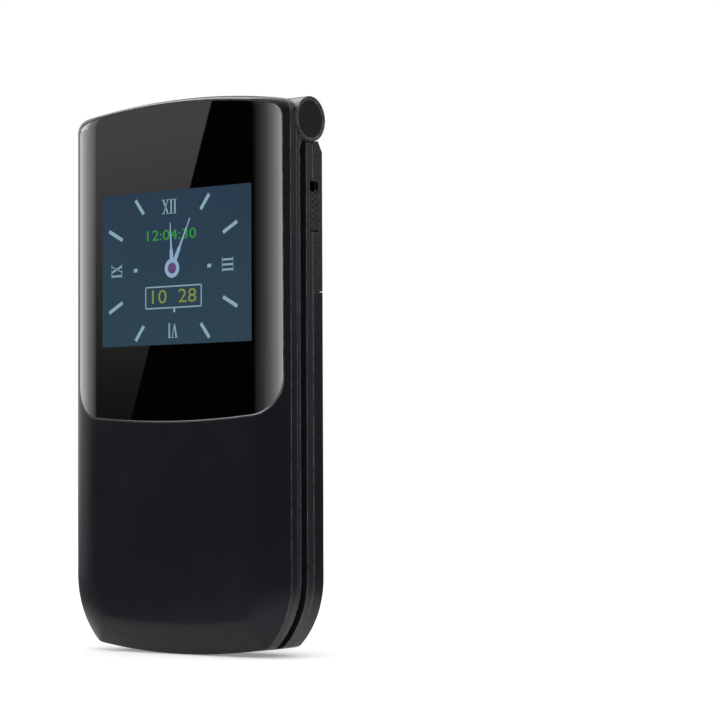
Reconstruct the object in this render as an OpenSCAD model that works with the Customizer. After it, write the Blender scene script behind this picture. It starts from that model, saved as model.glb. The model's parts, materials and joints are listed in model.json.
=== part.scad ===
// Clamshell mobile phone with a large keypad, closed and standing on its lower edge.
// X runs across the phone, Y from the lid's front to the battery cover, and Z up.
// The origin is under the middle of the closed phone.

/* [Overall] */
// Height of the closed phone, from its lower edge to the lid's top edge
closed_h = 112; // [108:0.5:118]
// Width across the lid and the base
body_w = 57.2; // [56:0.2:60]
// Thickness of the lid at its side band
lid_t = 5.4; // [5.2:0.1:6.4]
// Thickness of the base from its front rim to the battery cover
base_t = 10.4; // [10.2:0.1:12]
// Gap between the rims of the lid and the base, bridged by their raised faces
rim_gap = 1.95; // [1.8:0.05:2.4]

/* [Outline] */
// Radius of the large curve at each lower corner
corner_sweep_r = 18.3; // [16:0.1:20]
// Height at which the large corner curve starts
corner_sweep_z = 15.5; // [14:0.5:18]
// Radius of the shallow arc along the lower edge
lower_arc_r = 146; // [120:2:200]
// Rounding where the corner curve meets the lower arc
lower_corner_r = 2.2; // [1.5:0.1:4]
// Radius of the arc along the lid's top edge
lid_top_arc_r = 166; // [140:2:220]
// Rounding of the lid's two top corners
lid_top_corner_r = 2.7; // [1:0.1:4]

/* [Lid] */
// Width of the curved strip along each side of the lid's front
edge_curve_w = 7.6; // [5:0.1:9]
// Depth of that curved strip
edge_curve_d = 2.45; // [1.8:0.05:2.8]
// Height of the curved heel at the lid's lower end
heel_h = 6.6; // [4:0.1:9]
// Depth of the lid's inner frame band, seen from the side
lid_band_d = 1.03; // [0.9:0.01:1.3]
// Height of the lid's raised inner face above its rim
lid_plateau_d = 0.77; // [0.6:0.01:0.9]
// Wall thickness of the lid cover
lid_wall = 1.0; // [0.8:0.05:1.2]
// Distance of the window's side edge from the lid's side
window_side_margin = 1.5; // [1:0.1:3]
// Distance of the window's top edge from the lid's top edge
window_top_margin = 1.2; // [0.8:0.1:2.5]
// Depth of the window's lowest point below the hinge axis
window_low_drop = 59.4; // [55:0.2:64]
// Radius of the window's lower corners
window_corner_r = 7; // [4:0.2:9]
// Radius of the arc along the window's lower edge
window_low_arc_r = 220; // [150:5:300]
// Thickness of the window
window_t = 0.8; // [0.6:0.05:0.9]
// Width of the clock display
clock_w = 40; // [36:0.1:42]
// Height of the clock display
clock_h = 31.2; // [28:0.1:34]
// Distance of the clock display's centre to the right of the phone's middle
clock_x = 0.6; // [-1:0.1:1.5]
// Depth of the clock display's centre below the hinge axis
clock_drop = 28.4; // [27:0.1:32]

/* [Hinge] */
// Outer radius of the hinge barrel
barrel_r = 4.5; // [4.3:0.05:4.8]
// Depth of the barrel's top below the lid's top edge
barrel_below_top = 1.35; // [0.8:0.05:1.5]
// Distance of the hinge axis behind the lid's rim
axis_behind_rim = 3.16; // [3.1:0.02:3.3]
// Half length of the middle knuckle
knuckle_half = 16.3; // [15:0.1:18]
// Gap between the middle knuckle and each outer one
knuckle_gap = 0.3; // [0.2:0.05:0.5]
// Thickness of each hinge end cap
cap_t = 0.3; // [0.2:0.05:0.5]
// Radial gap around the barrel where the other half passes it
barrel_gap = 0.35; // [0.3:0.05:0.5]
// Radius of the bore through the middle knuckle
knuckle_bore_r = 3.3; // [3:0.05:3.5]
// Radius of the shafts that turn with the lid
shaft_r = 1.5; // [1.2:0.05:1.8]
// Radial running clearance of the shafts
shaft_play = 0.05; // [0.03:0.01:0.08]

/* [Base] */
// Depth of the base's front frame, seen from the side
front_band_d = 2.0; // [1.9:0.05:2.4]
// Width of the flat chamfer along each rear edge
chamfer_w = 7.9; // [6:0.1:9]
// Depth of that chamfer
chamfer_d = 5.35; // [4.5:0.05:5.6]
// Height of the curved heel at the battery cover's lower end
cover_heel_h = 10; // [6:0.5:12]
// Height of the base's raised keypad face above its rim
base_plateau_d = 0.65; // [0.5:0.05:0.75]
// Width of the step around the raised faces
plateau_step = 1.6; // [1.4:0.1:2.4]
// Wall thickness of the base's shells
base_wall = 1.2; // [1:0.05:1.3]
// Depth of the battery cover's top edge below the hinge axis
cover_top_drop = 34.2; // [33.5:0.1:37]
// Wall thickness of the battery cover
cover_wall = 1.0; // [0.8:0.05:1.1]
// Gap between the battery cover and the housing that it clips to
cover_gap = 0.2; // [0.15:0.05:0.3]
// Depth of the rear crease below the hinge axis
crease_drop = 6.9; // [6.5:0.1:8]
// Depth of the slope's upper edge below the hinge axis
slope_top_drop = 3.8; // [3.6:0.1:4.2]
// Depth of the shoulder corners below the hinge axis
shoulder_drop = 6.3; // [5.8:0.1:7]
// Distance of the shoulders' inner corners from the phone's middle, at the top of the slope
shoulder_reach = 18.3; // [17.5:0.1:20]
// Steepness of the side walls' top edges, as height over depth
shoulder_rise = 1.6; // [1:0.1:2]
// Thickness of the side walls' raised ends
shoulder_rib_t = 1.4; // [1.2:0.1:1.6]

/* [Grille] */
// Distance from the phone's side to the grille's far arc
grille_side_margin = 8.75; // [8.6:0.05:9]
// Distance from the grille's near arc to the camera plate's middle
grille_camera_gap = 6.1; // [6:0.05:6.3]
// Depth of the grille's middle below the hinge axis
grille_drop = 21.35; // [21:0.1:22]
// Height of the slots
slot_h = 18.3; // [16:0.1:19]
// Width of the ribs between the slots
rib_w = 1.65; // [1.4:0.05:2]
// Distance from each outer slot's middle to the arc beside it
slot_arc_reach = 3.25; // [3:0.05:3.5]
// Radius of the arcs along the outer slots
slot_arc_r = 21; // [19:0.5:26]
// Depth of the slots
slot_d = 2.2; // [1.8:0.1:2.4]
// Height of the sloped end of each slot
slot_end_h = 1.3; // [0.8:0.1:1.6]
// Height of the crossbar behind the ribs
crossbar_h = 2.6; // [2:0.1:3]

/* [Camera] */
// Distance of the camera plate's middle from the phone's side
camera_margin = 13.05; // [12.9:0.05:13.2]
// Depth of the camera plate's middle below the hinge axis
camera_drop = 21.3; // [21:0.1:22]
// Width of the camera rim
camera_rim_w = 10.3; // [9.8:0.1:10.3]
// Height of the camera rim
camera_rim_h = 22; // [20:0.2:22.4]
// Width of the step between the rim and the ring
camera_rim_step = 0.5; // [0.4:0.05:0.7]
// Width of the camera ring
camera_ring_w = 0.6; // [0.4:0.05:0.8]
// Outer radius of the stepped lens cone
cone_r = 3.25; // [3:0.05:3.4]
// Height of the lens above the camera plate's middle
lens_rise = 5.65; // [5:0.05:5.8]
// Width of the flash frame
flash_w = 4.7; // [4.4:0.1:5]
// Height of the flash frame
flash_h = 6.1; // [5.6:0.1:6.4]
// Depth of the flash frame's middle below the camera plate's middle
flash_fall = 6.2; // [6:0.1:6.4]

/* [Keypad] */
// Distance from the phone's side to the keypad
key_side_margin = 4.4; // [4.4:0.1:5]
// Depth of the keypad's upper edge below the hinge axis
keypad_top_drop = 20.3; // [20.3:0.1:22]
// Height of the lowest key's lower edge
key_low_z = 7.6; // [7.6:0.1:8.2]
// Corner radius of the keys
key_corner_r = 2; // [1:0.1:3]
// Outer radius of the navigation ring
nav_r = 12; // [11:0.1:12]
// Radius of the OK key inside the ring
ok_r = 5; // [4:0.1:6]
// Height of the four keys beside the navigation ring
side_key_h = 14.2; // [12:0.1:14.3]
// Gap between neighbouring key caps
key_space = 0.8; // [0.8:0.05:0.9]
// Travel of a key
key_travel = 0.3; // [0.2:0.05:0.3]
// Height of the key caps above the raised face
key_proud = 0.2; // [0.1:0.05:0.25]

/* [Battery] */
// Distance from the battery's sides to the phone's sides
battery_side_room = 9.6; // [9.3:0.1:11.6]
// Distance from the battery's upper edge to the battery cover's top edge
battery_top_room = 8.3; // [7.8:0.1:12]
// Thickness of the battery
battery_t = 4.8; // [4:0.1:4.9]
// Height of the battery's lower edge
battery_z = 11; // [10:0.5:13]

/* [Side details] */
// Depth of the charging flap's top edge below the hinge axis
flap_top_drop = 14.2; // [14:0.1:15]
// Height of the charging flap
flap_h = 8.1; // [7.9:0.1:8.6]
// Depth of the charging flap from front to rear
flap_d = 2.45; // [2.4:0.05:2.6]
// Height of the nail notch above the flap
notch_h = 1.9; // [1.5:0.1:2.2]
// Thickness of the charging flap
flap_t = 1.2; // [1:0.05:1.3]
// Height of each lanyard slot
lanyard_slot_h = 2.2; // [1.8:0.1:2.4]
// Depth of each lanyard slot from front to rear
lanyard_slot_d = 1.7; // [1.4:0.1:1.9]
// Distance between the middles of the two lanyard slots
lanyard_pitch = 3.7; // [3.4:0.1:4]
// Depth of the lanyard slots' middle below the hinge axis
lanyard_drop = 14.85; // [14:0.1:16]
// Radius of the two screw caps on the rear shoulders
screw_cap_r = 2.15; // [1.9:0.05:2.3]
// Distance of the screw caps' middles from the phone's side
screw_cap_margin = 4.4; // [4.2:0.05:4.6]
// Depth of the screw caps below the hinge axis
screw_cap_drop = 9.2; // [8.8:0.1:9.5]

/* [Hidden] */
$fn = 64;
// Overlap of solids that are joined
eps = 0.01;
// Gap between parts that lie on each other
fit_gap = 0.05;

// Depths along Y
closed_t = lid_t + rim_gap + base_t;
front_y = -closed_t / 2;
rear_y = closed_t / 2;
lid_rim_y = front_y + lid_t;
lid_seam_y = lid_rim_y - lid_band_d;
lid_face_y = lid_rim_y + lid_plateau_d;
base_rim_y = lid_rim_y + rim_gap;
base_face_y = base_rim_y - base_plateau_d;
base_seam_y = base_rim_y + front_band_d;
side_top_y = rear_y - chamfer_d;
hinge_y = lid_rim_y + axis_behind_rim;

// Heights along Z
hinge_z = closed_h - barrel_below_top - barrel_r;
half_w = body_w / 2;
lid_top_z = closed_h;
cover_top_z = hinge_z - cover_top_drop;
base_top_z = hinge_z - barrel_r - barrel_gap - 0.05;
slope_top_y = hinge_y + barrel_r + 0.2;

// Shoulders: three corners of the right one, and the turns of its normal
shoulder_low = [half_w - chamfer_w, rear_y, hinge_z - crease_drop];
shoulder_out = [half_w, side_top_y, hinge_z - shoulder_drop];
shoulder_in = [shoulder_reach, slope_top_y, hinge_z - slope_top_drop];
shoulder_up = cross(shoulder_in - shoulder_low, shoulder_out - shoulder_low);
shoulder_tilt = acos(shoulder_up.z / norm(shoulder_up));
shoulder_swing = atan2(shoulder_up.y, shoulder_up.x);

// Upper edges
plateau_top_z = hinge_z - barrel_r - 2.6;

// Key layout: caps, the flange behind them and the holes in the frame
key_flange = 0.35;
key_clear = 0.2;
flange_t = 0.4;
face_wall = 1.2;
face_inner_y = base_face_y + face_wall;
key_top_y = base_face_y - key_proud;
flange_front_y = face_inner_y + fit_gap;
flange_back_y = flange_front_y + flange_t;
sheet_y = flange_back_y + key_travel + fit_gap;
sheet_t = 0.4;
board_y = sheet_y + sheet_t;
board_t = 0.8;
board_gap = 0.5;
board_back_y = board_y + board_t;
key_area_half = half_w - key_side_margin;
key_w = (2 * key_area_half - 2 * key_space) / 3;
key_pitch_x = key_w + key_space;
keypad_top_z = hinge_z - keypad_top_drop;
key_h = (keypad_top_z - key_low_z - 6 * key_space - 2 * side_key_h) / 4;
key_pitch_z = key_h + key_space;
row_z = [for (i = [0:3]) key_low_z + key_h / 2 + i * key_pitch_z];
side_low_z = row_z[3] + key_h / 2 + 2 * key_space;
nav_z = side_low_z + side_key_h + key_space / 2;
side_key_w = key_area_half - 6;

// Screws: one size throughout, seated at one depth
screw_r = 0.6;
screw_head_r = 1.1;
screw_head_t = 0.6;
boss_r = 1.1;
screw_tip_y = base_face_y + 0.6;
mid_screw_x = half_w - 2.9;
mid_screw_z = cover_top_z - 3;
low_screw_x = half_w - 9.6;
low_screw_z = 4.8;
screw_cap_x = half_w - screw_cap_margin;
screw_cap_z = hinge_z - screw_cap_drop;
screw_sites = [
    [screw_cap_x, screw_cap_z], [mid_screw_x, mid_screw_z], [low_screw_x, low_screw_z]
];

// Battery bay
tray_inset = cover_wall + cover_gap + 0.1;
tray_floor_t = 0.7;
battery_back_y = rear_y - cover_wall - cover_gap;
battery_front_y = battery_back_y - battery_t;
tray_floor_y = battery_front_y - tray_floor_t - fit_gap;
bay_gap = 0.3;
screw_seat_y = tray_floor_y;
battery_w = body_w - 2 * battery_side_room;
battery_top_z = cover_top_z - battery_top_room;
battery_h = battery_top_z - battery_z;
battery_mid_z = (battery_z + battery_top_z) / 2;
sim_w = 16;
sim_h = 13;
sim_x = -8;
sim_z = battery_top_z - 16;
contact_w = 9;
contact_x = 8;
contact_reach = 0.25;
pin_w = 1.2;
pin_pitch = 2.6;
shield_t = 0.6;
shield_inset = 2.5;
shield_low_z = battery_z + 4;
shield_top_z = sim_z - sim_h / 2 - 3.5;

// Screw caps, square to the chamfers; the angle is that of their normal from +Y
chamfer_angle = atan2(chamfer_d, chamfer_w);
screw_cap_y = side_top_y + chamfer_d * (half_w - screw_cap_x) / chamfer_w;

// Grille and camera
camera_x = half_w - camera_margin;
grille_far_x = grille_side_margin - half_w;
grille_near_x = camera_x - grille_camera_gap;
grille_x = (grille_far_x + grille_near_x) / 2;
grille_reach = (grille_near_x - grille_far_x) / 2;
slot_pitch = (grille_reach - slot_arc_reach) / 2;
slot_w = slot_pitch - rib_w;
grille_z = hinge_z - grille_drop;
seat_y = rear_y - slot_d;
crossbar_t = 0.35;
mesh_t = 0.3;
mesh_y = seat_y - crossbar_t - mesh_t;
camera_z = hinge_z - camera_drop;
lens_z = camera_z + lens_rise;
flash_z = camera_z - flash_fall;
plate_face_y = rear_y - 0.25;
plate_t = 0.6;
camera_floor_y = plate_face_y - plate_t;
ring_half_w = camera_rim_w / 2 - camera_rim_step;
ring_half_h = camera_rim_h / 2 - camera_rim_step;
speaker_inset = 1.65;
speaker_w = 2 * (grille_reach - speaker_inset);
speaker_h = 17;
cone_steps = 4;
cone_d = 1.6;
lens_r = 1.5;
lens_t = 0.65;
lens_front_y = plate_face_y - 1.25;
lens_back_y = lens_front_y - lens_t;
module_w = 8;
module_t = 2.5;
barrel_lens_r = 3;
led_w = 2;
led_h = 3.5;
led_body_w = 3.2;
led_body_h = 4.2;

// Vibration motor
motor_x = -8;
motor_z = hinge_z - 10.2;
motor_r = 2;
motor_y = board_back_y + motor_r + 0.25;
motor_len = 8;

// Side openings
flap_y = base_rim_y + 1.26;
flap_top_z = hinge_z - flap_top_drop;
flap_low_z = flap_top_z - flap_h;
flap_gap = 0.15;
port_len = 7.4;
port_wall = 0.15;
port_deep = 5.6;
port_x = half_w - flap_t - 0.35 - port_deep;
lanyard_y = base_seam_y + 0.85;
lanyard_z = hinge_z - lanyard_drop;

// Lid interior
lid_inner_y = front_y + lid_wall;
clock_z = hinge_z - clock_drop;
clock_t = 1.5;
view_w = 37;
view_h = 49.4;
view_drop = 50;
view_z = hinge_z - view_drop;
view_border_w = 1.3;
view_border_h = 2.3;
glass_w = view_w + 8;
glass_h = view_h + 13;
glass_t = 0.75;
ear_z = 12;
ear_slot_w = 11;
ear_slot_h = 1.8;
ear_w = 14;
ear_h = 6;
ear_t = 1.8;
lid_board_t = 0.5;
lid_board_drop = 66.8;
lid_board_rise = 2.25;
lid_board_inset = 1;
lid_board_low_z = hinge_z - lid_board_drop;
lid_board_top_z = clock_z + clock_h / 2 + lid_board_rise;
lid_screw_x = 22;
lid_screw_low_z = 12;
lid_screw_drop = 4;
lid_screw_z = [lid_screw_low_z, plateau_top_z - lid_screw_drop];
// Depth of the inner frame's top edge below the lid's, which lets it pass the base as it opens
frame_top_inset = barrel_below_top - 0.35;

// Hinge parts
cove_low_z = hinge_z - barrel_r - 1.2;
cove_top_z = hinge_z + 2.4;
neck_low_reach = 3.4;
neck_reach = 3.9;
cartridge_len = 12;
shaft_end_x = half_w - 4;

// ---------- plane helpers ----------

// Extrudes a shape drawn in X and Z from depth y0 to depth y1.
module slab(y0, y1) {
    translate([0, y1, 0])
        rotate([90, 0, 0])
            linear_extrude(y1 - y0)
                children();
}

// Extrudes a shape drawn in Y and Z from x0 to x1.
module along_x(x0, x1) {
    translate([x0, 0, 0])
        rotate([90, 0, 90])
            linear_extrude(x1 - x0)
                children();
}

// A rod along Y.
module rod_y(x, z, r, y0, y1) {
    slab(y0, y1)
        translate([x, z])
            circle(r);
}

// A rod along the hinge axis.
module rod_hinge(r, x0, x1) {
    along_x(x0, x1)
        translate([hinge_y, hinge_z])
            circle(r);
}

// Repeats a shape on both sides of the phone.
module both_sides() {
    children();
    mirror([1, 0, 0])
        children();
}

// A box given by its middle in X and Z and by its depths.
module block(x, z, w, h, y0, y1) {
    translate([x - w / 2, y0, z - h / 2])
        cube([w, y1 - y0, h]);
}

// A rectangle with round corners.
module round_rect(w, h, r) {
    square([w - 2 * r, h], center = true);
    square([w, h - 2 * r], center = true);
    for (sx = [-1, 1], sz = [-1, 1])
        translate([sx * (w / 2 - r), sz * (h / 2 - r)])
            circle(r);
}

// An upright stadium.
module stadium(half_width, half_height) {
    square([2 * half_width, 2 * (half_height - half_width)], center = true);
    for (s = [-1, 1])
        translate([0, s * (half_height - half_width)])
            circle(half_width);
}

// ---------- outlines ----------

// Points on an arc from angle a0 to angle a1, from point number first on.
function arc(c, r, a0, a1, n, first = 0) =
    [for (i = [first:n]) let(a = a0 + (a1 - a0) * i / n) c + r * [cos(a), sin(a)]];

// Middle of a fillet that touches two circles from inside.
function fillet_middle(c1, r1, c2, r2) =
    let(
        d = norm(c2 - c1),
        toward = atan2(c2[1] - c1[1], c2[0] - c1[0]),
        swing = acos((r1 * r1 + d * d - r2 * r2) / (2 * r1 * d))
    )
    c1 + r1 * [cos(toward - swing), sin(toward - swing)];

function angle_to(from, to) = atan2(to[1] - from[1], to[0] - from[0]);

// Right half of the lower outline, from the lowest point up to the straight side.
function lower_half(side_inset, low_inset) =
    let(
        c_side = [half_w - corner_sweep_r, corner_sweep_z],
        c_low = [0, lower_arc_r],
        r_side = corner_sweep_r - side_inset,
        r_low = lower_arc_r - low_inset,
        f = fillet_middle(c_side, r_side - lower_corner_r, c_low, r_low - lower_corner_r),
        a_low = angle_to(c_low, f),
        a_side = angle_to(c_side, f)
    )
    concat(
        arc(c_low, r_low, -90, a_low, 6),
        arc(f, lower_corner_r, a_low, a_side, 4, 1),
        arc(c_side, r_side, a_side, 0, 8, 1)
    );

// Right half of the lid's top, from the straight side to the highest point.
function lid_top_half(side_inset, top_inset) =
    let(
        c = [0, lid_top_z - lid_top_arc_r],
        r = lid_top_arc_r - top_inset,
        fx = half_w - side_inset - lid_top_corner_r,
        fz = c[1] + sqrt(pow(r - lid_top_corner_r, 2) - fx * fx),
        a = angle_to(c, [fx, fz])
    )
    concat(arc([fx, fz], lid_top_corner_r, 0, a, 4), arc(c, r, a, 90, 7, 1));

// Closes a right half with its mirror image.
function closed(half) =
    concat(half, [for (i = [len(half) - 1:-1:0]) if (half[i][0] > eps) [-half[i][0], half[i][1]]]);

function lid_outline(side_inset, low_inset, top_inset) =
    closed(concat(lower_half(side_inset, low_inset), lid_top_half(side_inset, top_inset)));

function base_outline(side_inset, low_inset, top_z) =
    closed(concat(lower_half(side_inset, low_inset), [[half_w - side_inset, top_z], [0, top_z]]));

// Solid through outlines of one point count, each at its own depth along Y.
module loft(rings, depths) {
    n = len(rings[0]);
    last = len(rings) - 1;
    polyhedron(
        points = [for (i = [0:last]) for (p = rings[i]) [p[0], depths[i], p[1]]],
        faces = concat(
            [[for (j = [n - 1:-1:0]) j]],
            [for (i = [0:last - 1], j = [0:n - 1]) let(a = i * n, k = (j + 1) % n)
                [a + j, a + k, a + n + k]],
            [for (i = [0:last - 1], j = [0:n - 1]) let(a = i * n, k = (j + 1) % n)
                [a + j, a + n + k, a + n + j]],
            [[for (j = [0:n - 1]) last * n + j]]
        )
    );
}

// Solid form of the lid's front: flat face, curved sides and a curved heel.
// The form shrinks by skin on every side and ends at depth y_end.
module lid_form(skin, y_end) {
    r = (edge_curve_w * edge_curve_w + edge_curve_d * edge_curve_d) / (2 * edge_curve_d);
    sweep = asin(edge_curve_w / r);
    top_round = 1;
    turns = [for (i = [0:5]) sweep * i / 5];
    shares = concat([for (a = turns) 1 - r * sin(a) / edge_curve_w], [0]);
    depths = concat([for (a = turns) front_y + skin + r * (1 - cos(a))], [y_end]);
    loft([for (s = shares) lid_outline(edge_curve_w * s + skin, heel_h * s + skin, top_round * s + skin)],
         depths);
}

// Solid form of the base's rear: flat face, plane chamfers and a curved heel.
module base_form(skin, y_start, top_z) {
    turns = [for (i = [0:5]) 90 * i / 5];
    y_side = side_top_y - skin / 2;
    rings = [for (b = turns)
        base_outline(chamfer_w * sin(b) + skin, cover_heel_h * (1 - cos(b)) + skin, top_z)];
    loft(concat([base_outline(skin, skin, top_z)], rings),
         concat([y_start], [for (b = turns) y_side + (chamfer_d - skin / 2) * sin(b)]));
}

// Side wall below the barrel, whose top edge leans forward.
module shoulder_rib() {
    lean_top_z = hinge_z + 1;
    along_x(half_w - shoulder_rib_t, body_w)
        polygon([
            [front_y, -eps],
            [rear_y + 2, -eps],
            [rear_y + 2, shoulder_out.z - shoulder_rise * (rear_y + 2 - side_top_y)],
            [side_top_y - (lean_top_z - shoulder_out.z) / shoulder_rise, lean_top_z],
            [front_y, lean_top_z]
        ]);
}

// Sloped and shouldered limit of the rear housing, shrunk by skin, with its top at top_drop
// below the hinge axis.
module shoulder_limit(skin, top_drop) {
    difference() {
        along_x(-body_w, body_w)
            polygon([
                [front_y, -eps],
                [rear_y + 1, -eps],
                [rear_y + 1, hinge_z - crease_drop - skin - 0.8],
                [rear_y, hinge_z - crease_drop - skin],
                [slope_top_y, hinge_z - top_drop],
                [front_y, hinge_z - top_drop]
            ]);
        both_sides()
            difference() {
                translate(shoulder_low - skin * shoulder_up / norm(shoulder_up))
                    rotate([0, shoulder_tilt, shoulder_swing])
                        translate([-body_w, -body_w, 0])
                            cube([2 * body_w, 2 * body_w, body_w]);
                shoulder_rib();
            }
    }
}

// ---------- keys ----------

module side_key_plan(sx, upper, grow) {
    z = nav_z + (upper ? 1 : -1) * (key_space / 2 + side_key_h / 2);
    x = sx * (key_area_half - side_key_w / 2);
    difference() {
        translate([x, z])
            round_rect(side_key_w + 2 * grow, side_key_h + 2 * grow, key_corner_r);
        translate([0, nav_z])
            circle(nav_r + key_space - grow);
    }
}

module number_key_plan(column, row, grow) {
    translate([(column - 1) * key_pitch_x, row_z[row]])
        round_rect(key_w + 2 * grow, key_h + 2 * grow, key_corner_r);
}

module nav_ring_plan(grow) {
    translate([0, nav_z])
        difference() {
            circle(nav_r + grow);
            circle(ok_r + key_space - grow);
        }
}

module ok_plan(grow) {
    translate([0, nav_z])
        circle(ok_r + grow);
}

// A key's cap with the flange that keeps it behind the frame. The first child is the
// cap's plan and the second the flange's.
module key_solid() {
    color([0.1, 0.1, 0.11]) {
        slab(key_top_y, flange_front_y + eps)
            children(0);
        slab(flange_front_y, flange_back_y)
            children(1);
    }
}

module number_key(column, row) {
    key_solid() {
        number_key_plan(column, row, 0);
        number_key_plan(column, row, key_flange);
    }
}

module side_key(sx, upper) {
    key_solid() {
        side_key_plan(sx, upper, 0);
        side_key_plan(sx, upper, key_flange);
    }
}

module nav_ring() {
    key_solid() {
        nav_ring_plan(0);
        nav_ring_plan(key_flange - fit_gap);
    }
}

module key_ok() {
    key_solid() {
        ok_plan(0);
        ok_plan(key_flange - fit_gap);
    }
}

// ---------- base ----------

// Solid front frame before its openings: rim band, raised face and hinge neck.
module front_frame_form() {
    difference() {
        slab(base_rim_y, base_seam_y)
            polygon(base_outline(0, 0, base_top_z));
        slab(face_inner_y, base_seam_y + 1)
            polygon(base_outline(base_wall, base_wall, base_top_z - base_wall));
    }
    slab(base_face_y, base_rim_y + eps)
        polygon(base_outline(plateau_step, plateau_step, plateau_top_z));
    rod_hinge(barrel_r, -knuckle_half, knuckle_half);
    along_x(-knuckle_half, knuckle_half)
        polygon([
            [base_rim_y, base_top_z - base_wall],
            [base_seam_y, base_top_z - base_wall],
            [base_seam_y, hinge_z - slope_top_drop + 0.15],
            [hinge_y + neck_low_reach, hinge_z - slope_top_drop + 0.15],
            [hinge_y + neck_reach, hinge_z - slope_top_drop / 2],
            [hinge_y + neck_reach, hinge_z],
            [base_rim_y, hinge_z]
        ]);
}

module screw_bosses() {
    both_sides()
        for (s = screw_sites)
            rod_y(s[0], s[1], boss_r, face_inner_y - eps, board_y - fit_gap);
}

module charge_opening(y0, y1) {
    block(half_w, (flap_low_z + flap_top_z + notch_h) / 2, 2 * flap_t + 1.6,
          flap_h + notch_h + flap_gap, y0, y1);
}

module base_front_frame() {
    color([0.13, 0.14, 0.15])
        difference() {
            union() {
                front_frame_form();
                screw_bosses();
            }
            rod_hinge(knuckle_bore_r, -knuckle_half - 1, knuckle_half + 1);
            both_sides()
                for (s = screw_sites)
                    rod_y(s[0], s[1], screw_r + 0.02, screw_tip_y - 0.1, base_seam_y);
            for (c = [0:2], r = [0:3])
                slab(base_face_y - 1, face_inner_y + eps)
                    number_key_plan(c, r, key_clear);
            for (sx = [-1, 1], upper = [false, true])
                slab(base_face_y - 1, face_inner_y + eps)
                    side_key_plan(sx, upper, key_clear);
            slab(base_face_y - 1, face_inner_y + eps)
                translate([0, nav_z])
                    circle(nav_r + key_clear);
            charge_opening(flap_y - flap_gap, base_seam_y + 1);
            rod_y(0, low_screw_z, 0.5, base_face_y - 1, face_inner_y + eps);
        }
}

// A disc square to the right chamfer, from depth d0 to depth d1 below its face.
module chamfer_disc(r, d0, d1) {
    translate([screw_cap_x, screw_cap_y, screw_cap_z])
        rotate([0, 0, -chamfer_angle])
            rod_y(0, 0, r, -d1, -d0);
}

// One straight slot of the grille, or an outer one that an arc bounds.
module slot_plan(i) {
    side = sign(i);
    if (abs(i) < 2)
        translate([grille_x + i * slot_pitch, grille_z])
            square([slot_w, slot_h], center = true);
    else
        intersection() {
            translate([grille_x + side * (grille_reach - slot_arc_r), grille_z])
                circle(slot_arc_r);
            translate([grille_x + i * slot_pitch + side * (slot_pitch - slot_w) / 2, grille_z])
                square([slot_pitch, slot_h], center = true);
        }
}

module rear_housing() {
    color([0.24, 0.245, 0.26])
        rear_housing_solid();
}

module rear_housing_solid() {
    upper_low_z = cover_top_z + cover_gap;
    difference() {
        union() {
            difference() {
                intersection() {
                    base_form(0, base_seam_y, hinge_z);
                    shoulder_limit(0, slope_top_drop);
                    translate([-body_w, front_y, upper_low_z])
                        cube([2 * body_w, closed_t + 1, closed_h]);
                }
                intersection() {
                    base_form(base_wall, base_seam_y - 1, hinge_z);
                    shoulder_limit(base_wall, barrel_r + barrel_gap + base_wall);
                    translate([-body_w, front_y, upper_low_z + base_wall])
                        cube([2 * body_w, closed_t + 1, closed_h]);
                }
            }
            speaker_seat();
            camera_seat();
            cap_columns();
            lanyard_block();
            battery_tray();
        }
        board_room();
        grille_slots();
        camera_recess();
        cap_recesses();
        screw_holes();
        lanyard_slots();
        charge_opening(base_seam_y - 1, flap_y + flap_d + flap_gap);
        rod_hinge(barrel_r + barrel_gap, -body_w, body_w);
    }
}

// Room for the main board, whose rear lies behind the seam.
module board_room() {
    slab(base_seam_y - 1, board_back_y + fit_gap)
        polygon(base_outline(base_wall, base_wall, base_top_z - base_wall));
}

module speaker_seat() {
    block(grille_x, grille_z, 2 * grille_reach + 1.2, slot_h + 3, seat_y, rear_y - 0.5);
}

module camera_seat() {
    slab(camera_floor_y - 0.8, rear_y - 0.5)
        translate([camera_x, camera_z])
            stadium(camera_rim_w / 2 + 0.1, camera_rim_h / 2 + 0.6);
}

// Columns that the two capped screws pass through.
module cap_columns() {
    both_sides()
        rod_y(screw_cap_x, screw_cap_z, screw_head_r + 0.9, board_back_y + fit_gap, screw_cap_y - 0.6);
}

module cap_recesses() {
    both_sides() {
        chamfer_disc(screw_cap_r + fit_gap, -1, 0.65);
        rod_y(screw_cap_x, screw_cap_z, screw_head_r + 0.1, screw_seat_y, screw_cap_y);
    }
}

// Clearance holes and head recesses of the housing screws.
module screw_holes() {
    both_sides()
        for (s = screw_sites) {
            rod_y(s[0], s[1], screw_r + 0.1, board_y, screw_seat_y + 1);
            rod_y(s[0], s[1], screw_head_r + 0.1, screw_seat_y, screw_seat_y + 1.5);
        }
}

// Slots whose ends slope outwards from the mesh to the face.
module grille_slots() {
    inner = slot_h / 2 - slot_end_h;
    outer = slot_h / 2;
    intersection() {
        slab(seat_y - 1, rear_y + 1)
            for (i = [-2:2])
                slot_plan(i);
        along_x(-body_w, body_w)
            translate([0, grille_z])
                polygon([
                    [seat_y - 1, -inner], [seat_y, -inner], [rear_y, -outer], [rear_y + 1, -outer],
                    [rear_y + 1, outer], [rear_y, outer], [seat_y, inner], [seat_y - 1, inner]
                ]);
    }
}

module camera_recess() {
    slab(camera_floor_y, rear_y + 1)
        translate([camera_x, camera_z])
            stadium(ring_half_w + fit_gap, ring_half_h + fit_gap);
    slab(rear_y - 0.2, rear_y + 1)
        translate([camera_x, camera_z])
            stadium(camera_rim_w / 2 - 0.25, camera_rim_h / 2 - 0.25);
    rod_y(camera_x, lens_z, cone_r + 0.1, camera_floor_y - 2, rear_y);
    block(camera_x, flash_z, flash_w - 1.2, flash_h - 1.6, camera_floor_y - 2, rear_y);
}

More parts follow.
